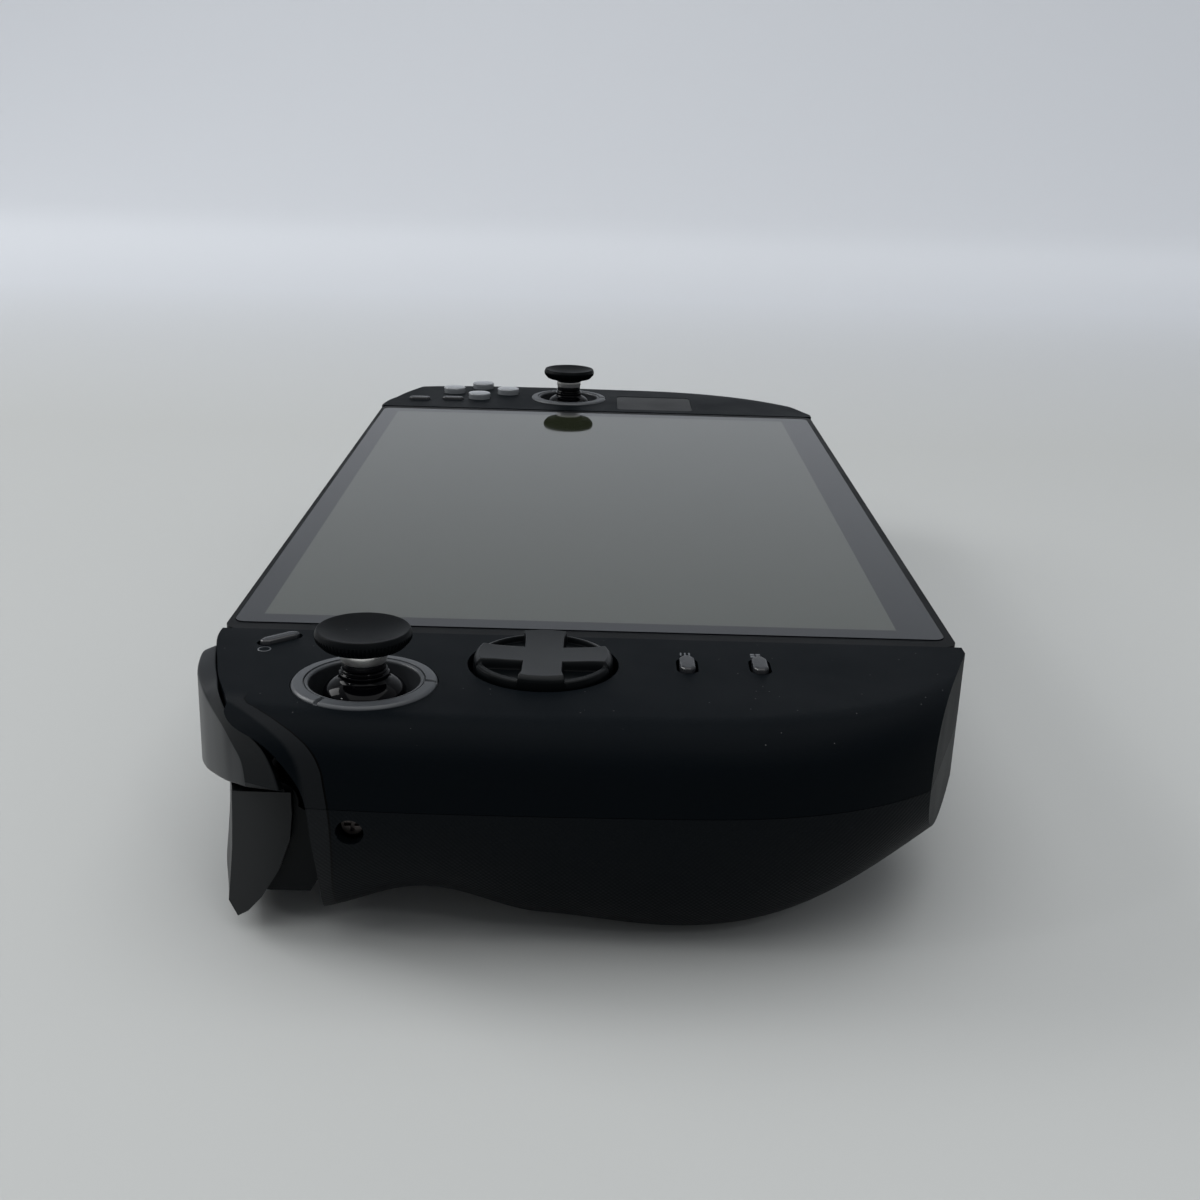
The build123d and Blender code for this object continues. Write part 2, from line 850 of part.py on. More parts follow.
# Tablet: frame with the screen's pocket above its web and the works' bay below it
screw_points = [
    (x_side * tablet_screw_x, y_side * tablet_screw_y) for x_side in (-1, 1) for y_side in (-1, 1)
]
with BuildPart() as tablet_frame:
    with BuildSketch(Plane.XY.offset(cover_top)):
        with Locations((0, tablet_shift)):
            RectangleRounded(tablet_length, tablet_depth, tablet_corner)
    extrude(amount=face_height - frame_rim_drop - cover_top)
    with BuildSketch(Plane.XY.offset(cover_top)):
        with Locations((0, tablet_shift)):
            Rectangle(tablet_length - 2 * frame_side_wall, tablet_depth - 2 * frame_wall)
    extrude(amount=web_bottom - cover_top, mode=Mode.SUBTRACT)
    with BuildSketch(Plane.XY.offset(panel_top)):
        with Locations((0, glass_shift)):
            RectangleRounded(glass_length + 2 * seat_gap, glass_depth + 2 * seat_gap, glass_corner)
    extrude(amount=face_height - panel_top, mode=Mode.SUBTRACT)
    with BuildSketch(Plane.XY.offset(web_top)):
        with Locations((0, panel_shift)):
            Rectangle(panel_length + 2 * seat_gap, panel_depth + 2 * seat_gap)
    extrude(amount=panel_top - web_top, mode=Mode.SUBTRACT)
    # screw bosses
    with BuildSketch(Plane.XY.offset(cover_top)):
        with Locations(*screw_points):
            Circle(screw_boss_radius)
    extrude(amount=web_bottom - cover_top)
    with BuildSketch(Plane.XY.offset(cover_top)):
        with Locations(*screw_points):
            Circle(screw_shank_radius + running_clearance)
    extrude(amount=tablet_screw_tip + seat_gap - cover_top, mode=Mode.SUBTRACT)
    # recesses for the rails
    for x_side in (-1, 1):
        with BuildSketch(end_plane(x_side * (tablet_side - rail_depth - seat_gap))):
            with Locations((0, port_height)):
                Rectangle(rail_length + 2 * seat_gap, rail_height + 2 * seat_gap)
        extrude(amount=x_side * tablet_side, mode=Mode.SUBTRACT)
    # holes for the keys, the sockets and the moving air
    with BuildSketch(top_edge_plane(power_x, -cut_overrun)):
        SlotOverall(power_length + 2 * button_hole_gap, key_height + 2 * button_hole_gap)
    extrude(amount=-frame_wall - 2 * cut_overrun, mode=Mode.SUBTRACT)
    with BuildSketch(top_edge_plane(volume_x, -cut_overrun)):
        SlotOverall(volume_length + 2 * key_swing_room, key_height + 2 * button_hole_gap)
    extrude(amount=-frame_wall - 2 * cut_overrun, mode=Mode.SUBTRACT)
    volume_reach = key_height / 2 + volume_pin_reach + seat_gap
    with BuildSketch(Plane.XY.offset(port_height - volume_reach)):
        with Locations((volume_x, tablet_top_edge - frame_wall / 2)):
            Circle(volume_pin_radius + running_clearance)
    extrude(amount=2 * volume_reach, mode=Mode.SUBTRACT)
    for socket_plane in (top_edge_plane(usb_top_x, -cut_overrun), bottom_edge_plane(0, -cut_overrun)):
        with BuildSketch(socket_plane):
            SlotOverall(usb_width + 2 * seat_gap, usb_height + 2 * seat_gap)
        extrude(amount=-frame_wall - 2 * cut_overrun, mode=Mode.SUBTRACT)
    with BuildSketch(top_edge_plane(jack_x, -cut_overrun)):
        Circle(jack_radius + jack_wall + seat_gap)
    extrude(amount=-frame_wall - 2 * cut_overrun, mode=Mode.SUBTRACT)
    with BuildSketch(top_edge_plane(fan_x, -cut_overrun)):
        with GridLocations(fan_length / exhaust_count, 0, exhaust_count, 1):
            RectangleRounded(exhaust_width, exhaust_height, exhaust_width / 3)
    extrude(amount=-frame_wall - 2 * cut_overrun, mode=Mode.SUBTRACT)
    for x_side in (-1, 1):
        with BuildSketch(bottom_edge_plane(x_side * speaker_x, -cut_overrun)):
            with GridLocations(speaker_slot_pitch, 0, speaker_slot_count, 1):
                SlotOverall(speaker_slot_height, speaker_slot_width, rotation=90)
        extrude(amount=-frame_wall - 2 * cut_overrun, mode=Mode.SUBTRACT)
tablet_frame.part.label = "tablet_frame"
export_step(tablet_frame.part, "parts/tablet_frame.step")

stand_axis_z = tablet_back + stand_lift + stand_thickness / 2
stand_middle_y = stand_hinge_y + stand_thickness / 2 - stand_depth / 2


def hinge_side_edges(cover):
    """The long edge of the stand's tray beside the hinge, at the cover's back face."""
    back_lines = cover.edges().filter_by(Axis.X).group_by(Axis.Z)[0]
    tray_y = stand_middle_y + stand_depth / 2 + moving_gap
    return back_lines.filter_by(lambda edge: abs(edge.center().Y - tray_y) < seat_gap)


with BuildPart() as tablet_rear_cover:
    with BuildSketch(Plane.XY.offset(tablet_back)):
        with Locations((0, tablet_shift)):
            RectangleRounded(tablet_length, tablet_depth, tablet_corner)
    extrude(amount=cover_height - seat_gap)
    back_edges = tablet_rear_cover.edges().group_by(Axis.Z)[0]
    fillet(back_edges, radius=cover_floor)
    with BuildSketch(Plane.XY.offset(tablet_back + cover_floor)):
        with Locations((0, tablet_shift)):
            Rectangle(tablet_length - 2 * cover_wall, tablet_depth - 2 * cover_wall)
    extrude(amount=cover_height, mode=Mode.SUBTRACT)
    # raised tray for the stand, with its hinge pins
    with BuildSketch(Plane.XY.offset(tablet_back + cover_floor)):
        with Locations((0, stand_middle_y)):
            Rectangle(stand_length + 2 * moving_gap + 2 * cover_wall, stand_depth + 2 * cover_wall)
    extrude(amount=stand_recess + stand_floor - cover_floor)
    with BuildSketch(Plane.XY.offset(tablet_back)):
        with Locations((0, stand_middle_y)):
            RectangleRounded(stand_length + 2 * moving_gap, stand_depth + 2 * moving_gap, moving_gap)
    extrude(amount=stand_recess, mode=Mode.SUBTRACT)
    chamfer(hinge_side_edges(tablet_rear_cover), length=stand_thickness / 2 + stand_lift)
    for x_side in (-1, 1):
        with BuildSketch(end_plane(x_side * (stand_length / 2 - stand_pin_length))):
            with Locations((stand_hinge_y, stand_axis_z)):
                Circle(stand_pin_radius)
        extrude(amount=x_side * (stand_pin_length + moving_gap + cover_wall))
    # bosses and seats for the screws
    with BuildSketch(Plane.XY.offset(tablet_back + cover_floor)):
        with Locations(*screw_points):
            Circle(screw_boss_radius)
    extrude(amount=cover_height - cover_floor - seat_gap)
    with BuildSketch(Plane.XY.offset(tablet_back)):
        with Locations(*screw_points):
            Circle(screw_head_radius + running_clearance)
    extrude(amount=tablet_screw_recess + screw_head_height, mode=Mode.SUBTRACT)
    with BuildSketch(Plane.XY.offset(tablet_back)):
        with Locations(*screw_points):
            Circle(screw_shank_radius + running_clearance)
    extrude(amount=cover_height, mode=Mode.SUBTRACT)
    # air intake over the fan
    with BuildSketch(Plane.XY.offset(tablet_back)):
        with Locations((fan_x, fan_y)):
            with GridLocations(vent_pitch, 0, vent_count, 1):
                SlotOverall(vent_length, vent_width, rotation=90)
    extrude(amount=cover_floor + cut_overrun, mode=Mode.SUBTRACT)
tablet_rear_cover.part.label = "tablet_rear_cover"
export_step(tablet_rear_cover.part, "parts/tablet_rear_cover.step")

with BuildPart() as display_glass:
    with BuildSketch(Plane.XY.offset(face_height - glass_thickness)):
        with Locations((0, glass_shift)):
            RectangleRounded(glass_length, glass_depth, glass_corner)
    extrude(amount=glass_thickness)
display_glass.part.label = "display_glass"
export_step(display_glass.part, "parts/display_glass.step")

with BuildPart() as display_panel:
    with BuildSketch(Plane.XY.offset(panel_top - panel_thickness)):
        with Locations((0, panel_shift)):
            Rectangle(panel_length, panel_depth)
    extrude(amount=panel_thickness)
display_panel.part.label = "display_panel"
export_step(display_panel.part, "parts/display_panel.step")

with BuildPart() as battery_pack:
    with BuildSketch(Plane.XY.offset(inner_top - battery_thickness)):
        with Locations((0, battery_shift)):
            Rectangle(battery_length, battery_depth)
    extrude(amount=battery_thickness)
    fillet(battery_pack.edges().filter_by(Axis.Z), radius=tablet_corner)
battery_pack.part.label = "battery_pack"
export_step(battery_pack.part, "parts/battery_pack.step")

board_bottom = inner_top - board_thickness
with BuildPart() as mainboard:
    with BuildSketch(Plane.XY.offset(board_bottom)):
        with Locations((mainboard_x, mainboard_y)):
            Rectangle(mainboard_length, mainboard_depth)
    extrude(amount=board_thickness)
    with BuildSketch(Plane.XY.offset(board_bottom - chip_height)):
        with Locations((chip_x, chip_y)):
            Rectangle(chip_size, chip_size)
        with Locations((memory_x, memory_y)):
            with GridLocations(memory_pitch, memory_pitch, 2, 2):
                Rectangle(memory_length, memory_depth)
    extrude(amount=chip_height)
mainboard.part.label = "mainboard"
export_step(mainboard.part, "parts/mainboard.step")

fan_bottom = inner_top - fan_thickness
with BuildPart() as fan_housing:
    with BuildSketch(Plane.XY.offset(fan_bottom)):
        with Locations((fan_x, fan_y)):
            Rectangle(fan_length, fan_depth)
    extrude(amount=fan_thickness)
    with BuildSketch(Plane.XY.offset(fan_bottom + fan_wall)):
        with Locations((fan_x, fan_y)):
            Circle(fan_bowl_radius)
        with Locations((fan_x, fan_y + fan_depth / 2)):
            Rectangle(2 * fan_bowl_radius, fan_depth)
    extrude(amount=fan_thickness - 2 * fan_wall, mode=Mode.SUBTRACT)
    with BuildSketch(Plane.XY.offset(fan_bottom)):
        with Locations((fan_x, fan_y)):
            Circle(fan_inlet_radius)
            for turn in (0, 120, 240):
                Rectangle(2 * fan_inlet_radius, fan_shaft_radius, rotation=turn, mode=Mode.SUBTRACT)
    extrude(amount=fan_wall, mode=Mode.SUBTRACT)
    with BuildSketch(Plane.XY.offset(fan_bottom)):
        with Locations((fan_x, fan_y)):
            Circle(fan_shaft_radius)
    extrude(amount=fan_thickness)
fan_housing.part.label = "fan_housing"
export_step(fan_housing.part, "parts/fan_housing.step")

rotor_height = fan_thickness - 2 * fan_wall - 2 * fan_lift
with BuildPart() as fan_rotor:
    with BuildSketch(Plane.XY.offset(fan_bottom + fan_wall + fan_lift)):
        with Locations((fan_x, fan_y)):
            Circle(fan_hub_radius)
            with PolarLocations((fan_rotor_radius + fan_hub_radius) / 2 - fan_blade_thickness, fan_blade_count):
                Rectangle(fan_rotor_radius - fan_hub_radius, fan_blade_thickness)
    extrude(amount=rotor_height)
    with BuildSketch(Plane.XY.offset(fan_bottom)):
        with Locations((fan_x, fan_y)):
            Circle(fan_shaft_radius + running_clearance)
    extrude(amount=fan_thickness, mode=Mode.SUBTRACT)
fan_rotor.part.label = "fan_rotor"
export_step(fan_rotor.part, "parts/fan_rotor.step")

sink_y = fan_y + fan_depth / 2 + sink_gap + sink_depth / 2
plate_top = board_bottom - chip_height - seat_gap
with BuildPart() as heat_sink:
    with BuildSketch(Plane.XY.offset(fan_bottom)):
        with Locations((fan_x, sink_y)):
            with GridLocations(fan_length / sink_fin_count, 0, sink_fin_count, 1):
                Rectangle(sink_fin, sink_depth)
    extrude(amount=fan_thickness)
    with BuildSketch(Plane.XY.offset(fan_bottom)):
        with Locations((fan_x, sink_y)):
            Rectangle(fan_length, sink_depth)
    extrude(amount=sink_fin)
    with BuildSketch(end_plane(chip_x)):
        with Locations((sink_y, plate_top - sink_pipe_radius)):
            Circle(sink_pipe_radius)
    extrude(amount=fan_x + fan_length / 2 - chip_x)
    with BuildSketch(Plane.XY.offset(plate_top - sink_plate_thickness)):
        with Locations((chip_x, (chip_y + sink_y) / 2)):
            Rectangle(chip_size, chip_size + sink_y - chip_y)
    extrude(amount=sink_plate_thickness)
heat_sink.part.label = "heat_sink"
export_step(heat_sink.part, "parts/heat_sink.step")

with BuildPart() as speakers:
    with BuildSketch(Plane.XY.offset(inner_top - battery_thickness)):
        with Locations((-speaker_x, speaker_y), (speaker_x, speaker_y)):
            RectangleRounded(speaker_length, speaker_depth, tablet_corner)
    extrude(amount=battery_thickness)
speakers.part.label = "speakers"
export_step(speakers.part, "parts/speakers.step")

with BuildPart() as port_sockets:
    for edge_plane in (top_edge_plane(usb_top_x), bottom_edge_plane(0)):
        with BuildSketch(edge_plane):
            SlotOverall(usb_width, usb_height)
        extrude(amount=-usb_length)
        with BuildSketch(edge_plane):
            SlotOverall(usb_width - 2 * usb_wall, usb_height - 2 * usb_wall)
        extrude(amount=-usb_length + usb_tongue, mode=Mode.SUBTRACT)
        with BuildSketch(edge_plane.offset(-usb_length)):
            Rectangle(usb_width - 2 * usb_height, usb_tongue)
        extrude(amount=usb_length - usb_tongue)
    with BuildSketch(top_edge_plane(jack_x)):
        Circle(jack_radius + jack_wall)
    extrude(amount=-jack_length - jack_wall)
    with BuildSketch(top_edge_plane(jack_x, frame_wall + seat_gap)):
        Rectangle(jack_body, jack_body)
    extrude(amount=frame_wall + seat_gap - jack_length - jack_wall)
    with BuildSketch(top_edge_plane(jack_x)):
        Circle(jack_radius)
    extrude(amount=-jack_length, mode=Mode.SUBTRACT)
port_sockets.part.label = "port_sockets"
export_step(port_sockets.part, "parts/port_sockets.step")

with BuildPart() as controller_rails:
    for x_side in (-1, 1):
        with BuildSketch(end_plane(x_side * (tablet_side - rail_depth))):
            with Locations((0, port_height)):
                Rectangle(rail_length, rail_height)
        extrude(amount=x_side * rail_depth)
        with BuildSketch(end_plane(x_side * (tablet_side - rail_depth + rail_wall))):
            with Locations((0, port_height)):
                Rectangle(rail_length - 2 * rail_wall, rail_height - 2 * rail_wall)
        extrude(amount=x_side * rail_depth, mode=Mode.SUBTRACT)
controller_rails.part.label = "controller_rails"
export_step(controller_rails.part, "parts/controller_rails.step")

tablet_seat = Plane.XY.offset(tablet_back + tablet_screw_recess + screw_head_height)
with BuildPart() as tablet_screws:
    for x, y in screw_points:
        add(screw(Plane(origin=(x, y, tablet_seat.origin.Z), z_dir=(0, 0, 1)), tablet_screw_length))
tablet_screws.part.label = "tablet_screws"
export_step(tablet_screws.part, "parts/tablet_screws.step")

with BuildPart() as power_button:
    with BuildSketch(top_edge_plane(power_x, -key_proud)):
        SlotOverall(power_length, key_height)
    extrude(amount=-key_proud - frame_wall - seat_gap - key_flange)
    with BuildSketch(top_edge_plane(power_x, frame_wall + moving_gap)):
        SlotOverall(power_length + 2 * key_flange, key_height + 2 * key_flange)
    extrude(amount=-key_flange)
    fillet(power_button.edges().group_by(Axis.Y)[-1], radius=pill_round)
power_button.part.label = "power_button"
export_step(power_button.part, "parts/power_button.step")

with BuildPart() as volume_rocker:
    with BuildSketch(top_edge_plane(volume_x, -key_proud)):
        SlotOverall(volume_length, key_height)
    extrude(amount=-key_proud - frame_wall + seat_gap)
    fillet(volume_rocker.edges().group_by(Axis.Y)[-1], radius=pill_round)
    with BuildSketch(Plane.XY.offset(port_height - key_height / 2 - volume_pin_reach)):
        with Locations((volume_x, tablet_top_edge - frame_wall / 2)):
            Circle(volume_pin_radius)
    extrude(amount=key_height + 2 * volume_pin_reach)
volume_rocker.part.label = "volume_rocker"
export_step(volume_rocker.part, "parts/volume_rocker.step")

with BuildPart() as kickstand:
    with BuildSketch(Plane.XY.offset(tablet_back + stand_lift)):
        with Locations((0, stand_middle_y)):
            Rectangle(stand_length, stand_depth)
        with Locations((0, stand_middle_y - stand_depth / 2)):
            SlotOverall(stand_notch_length, 2 * stand_notch_depth, mode=Mode.SUBTRACT)
    extrude(amount=stand_thickness)
    hinge_edges = kickstand.edges().filter_by(Axis.X).group_by(Axis.Y)[-1]
    fillet(hinge_edges, radius=stand_thickness / 2 - running_clearance)
    corner_edges = kickstand.edges().filter_by(Axis.Z).group_by(Axis.Y)[0]
    fillet(corner_edges, radius=tablet_corner)
    for x_side in (-1, 1):
        with BuildSketch(end_plane(x_side * stand_length / 2)):
            with Locations((stand_hinge_y, stand_axis_z)):
                Circle(stand_pin_radius + running_clearance)
        extrude(amount=-x_side * (stand_pin_length + seat_gap), mode=Mode.SUBTRACT)
kickstand.part.label = "kickstand"
export_step(kickstand.part, "parts/kickstand.step")


def drawn_in(points, depth):
    """The points of a line in plan, each moved to the right of the line's run by a depth."""
    moved = []
    for index, point in enumerate(points):
        before = points[max(index - 1, 0)]
        after = points[min(index + 1, len(points) - 1)]
        run = Vector(after[0] - before[0], after[1] - before[1], 0).normalized()
        moved.append((point[0] + run.Y * depth, point[1] - run.X * depth))
    return moved


# Bumper, seen from above: its outer line, and the same line drawn in by the skin
bumper_line = [(spread(x), y * half_depth) for x, y in bumper_outer_shares]
bumper_line += [(bumper_corner_x, bumper_corner_y), (bumper_end_x, bumper_end_y)]
bumper_inner_line = drawn_in(bumper_line, bumper_skin)
bumper_tail = (bumper_end_x, pocket_upper_y)
bumper_head = (bumper_line[0][0], pocket_upper_y)
pocket_clear_x = pocket_inner_x + moving_gap
bumper_under_drop = pocket_top_drop + moving_gap


def bumper_layer(low_x, top_drop):
    """The bumper's skin past a place along X, below a given depth."""
    with BuildPart() as layer:
        with BuildSketch(Plane.XY):
            with BuildLine():
                Spline(*bumper_line)
                Line(bumper_line[-1], bumper_inner_line[-1])
                Spline(*reversed(bumper_inner_line))
                Line(bumper_inner_line[0], bumper_line[0])
            make_face()
        extrude(amount=face_down(top_drop))
        split(bisect_by=Plane.YZ.offset(low_x), keep=Keep.TOP)
    return layer.part


with BuildPart() as bumper_right_hand:
    with BuildSketch(Plane.XY):
        with BuildLine():
            Spline(*bumper_line)
            Polyline(bumper_line[-1], bumper_tail, bumper_head, bumper_line[0])
        make_face()
    extrude(amount=face_height)
    add(
        plan_prism(shoulder_line_shares, -cut_overrun, face_height, bumper_gap_start, bumper_gap_end),
        mode=Mode.INTERSECT,
    )
    add(bumper_layer(pocket_clear_x, bumper_under_drop))
    add(bumper_layer(rim_inner_x + moving_gap, 0))
    # knuckle and its arm
    with BuildSketch(Plane.XY.offset(face_down(bumper_knuckle_top + bumper_knuckle_height))):
        with Locations((bumper_pivot_x, bumper_pivot_y)):
            Circle(bumper_knuckle_radius)
        with Locations((bumper_pivot_x, (bumper_pivot_y + half_depth - bumper_skin / 2) / 2)):
            Rectangle(2 * bumper_arm_half, half_depth - bumper_skin / 2 - bumper_pivot_y)
    extrude(amount=bumper_knuckle_height)
    with BuildSketch(Plane.XY.offset(face_down(bumper_knuckle_top + bumper_knuckle_height))):
        with Locations((bumper_pivot_x, bumper_pivot_y)):
            Circle(bumper_post_radius + running_clearance)
    extrude(amount=bumper_knuckle_height, mode=Mode.SUBTRACT)
    # its top follows the shell's shoulder and its bottom slopes up towards the end
    top_points = [(spread(x), face_height * (1 - z)) for x, z in bumper_top_shares]
    with BuildSketch(section_plane(0)):
        with BuildLine():
            Spline(*top_points, tangents=[(1, 0), (0, -1)])
            Polyline(
                top_points[-1],
                (bumper_end_x, face_down(bumper_depth_far)),
                (controller_inner, face_down(bumper_depth_near)),
                (controller_inner, top_points[0][1]),
                top_points[0],
            )
        make_face()
    extrude(amount=-console_depth, mode=Mode.INTERSECT)
    add(rim_zone, mode=Mode.SUBTRACT)

# Trigger: a bowed blade on a hub, with a cheek that hides the pocket
trigger_z = face_down(trigger_pivot_drop)
with BuildPart() as blade:
    for station_share, bow in zip(blade_station_shares, blade_bow):
        station = trigger_inner_x + station_share * (trigger_outer_x - trigger_inner_x)
        with BuildSketch(end_plane(station)):
            with BuildLine():
                Polyline(
                    *[
                        (trigger_pivot_y + out + (bow if out > trigger_hub_radius * 1.5 else 0), face_down(drop))
                        for out, drop in blade_outline
                    ],
                    close=True,
                )
            make_face()
    loft()
    with BuildSketch(section_plane(0)):
        with BuildLine():
            Polyline(
                (trigger_inner_x, face_down(trigger_top_near)),
                (trigger_outer_x, face_down(trigger_top_far)),
                (trigger_outer_x, 2 * face_height),
                (trigger_inner_x, 2 * face_height),
                close=True,
            )
        make_face()
    extrude(amount=-console_depth, mode=Mode.SUBTRACT)

slot_half = trigger_rib_thickness / 2 + trigger_slot_room
slot_start = trigger_rib_x - slot_half
slot_radius = trigger_rib_radius + trigger_slot_room
with BuildPart() as trigger_right_hand:
    add(blade.part)
    with BuildSketch(end_plane(trigger_inner_x)):
        with BuildLine():
            Polyline(*[(trigger_pivot_y + out, face_down(drop)) for out, drop in cheek_outline], close=True)
        make_face()
        with Locations((trigger_pivot_y, trigger_z)):
            Circle(trigger_hub_radius)
    extrude(amount=trigger_cheek_x - trigger_inner_x)
    with BuildSketch(end_plane(slot_start)):
        with Locations((trigger_pivot_y, trigger_z)):
            Circle(slot_radius)
        with BuildLine():
            Polyline(
                (trigger_pivot_y, trigger_z + slot_radius),
                (pocket_lower_y, trigger_z + slot_radius),
                (pocket_lower_y, trigger_z - trigger_slot_fall),
                (trigger_pivot_y, trigger_z - trigger_slot_fall),
                close=True,
            )
        make_face()
    extrude(amount=2 * slot_half, mode=Mode.SUBTRACT)
    with BuildSketch(end_plane(trigger_inner_x - trigger_stub_length)):
        with Locations((trigger_pivot_y, trigger_z)):
            Circle(trigger_pin_radius)
    extrude(amount=trigger_rib_x + 2 * slot_half - trigger_inner_x)


# What sits in each controller, drawn for the right one and mirrored for the left one
def button_outline(x, y, length, width, turn, extra):
    """A round or long button seen from above, wider all round by a gap or a flange."""
    with Locations(Location((x, y, 0), (0, 0, turn))):
        if length > width:
            SlotOverall(length + 2 * extra, width + 2 * extra)
        else:
            Circle(length / 2 + extra)


def button(x, y, length, width, turn, proud, edge_round):
    """A button cap that stands proud of the face, with a flange that keeps it in its hole."""
    with BuildPart() as cap:
        with BuildSketch(Plane.XY.offset(face_down(button_flange_top_drop + button_flange_thickness))):
            button_outline(x, y, length, width, turn, button_flange)
        extrude(amount=button_flange_thickness)
        with BuildSketch(Plane.XY.offset(face_down(button_flange_top_drop))):
            button_outline(x, y, length, width, turn, 0)
        extrude(amount=button_flange_top_drop + proud)
        fillet(cap.faces().sort_by(Axis.Z)[-1].edges(), radius=edge_round)
    return cap.part


face_diameter = 2 * face_button_radius
face_pieces = {
    "left": {
        "view_button": (view_button_x, view_button_y, pill_length, pill_width, 0, pill_proud),
        "menu_button": (menu_button_x, menu_button_y, pill_length, pill_width, 0, pill_proud),
        "left_home_button": (home_x, home_y, home_length, home_width, home_turn, home_proud),
    },
    "right": {
        "capture_button": (capture_x, capture_y, side_pill_length, side_pill_width, 90, pill_proud),
        "right_home_button": (right_home_x, right_home_y, side_pill_length, side_pill_width, 90, pill_proud),
    },
}
for name, x_turns, y_turns in (
    ("button_top", 0, 1),
    ("button_bottom", 0, -1),
    ("button_near", -1, 0),
    ("button_far", 1, 0),
):
    button_x = face_button_x + x_turns * face_button_spread
    button_y = face_button_y + y_turns * face_button_spread
    face_pieces["right"][name] = (button_x, button_y, face_diameter, face_diameter, 0, face_button_proud)
button_rounds = {face_diameter: face_button_round}

stick_places = {"left": (left_stick_x, left_stick_y), "right": (right_stick_x, right_stick_y)}
stick_tube_radius = stick_well_radius + stick_tube_wall
well_boss_drop = dpad_well_drop + dpad_well_floor
button_room_drop = button_flange_top_drop + button_flange_thickness + face_button_travel + moving_gap

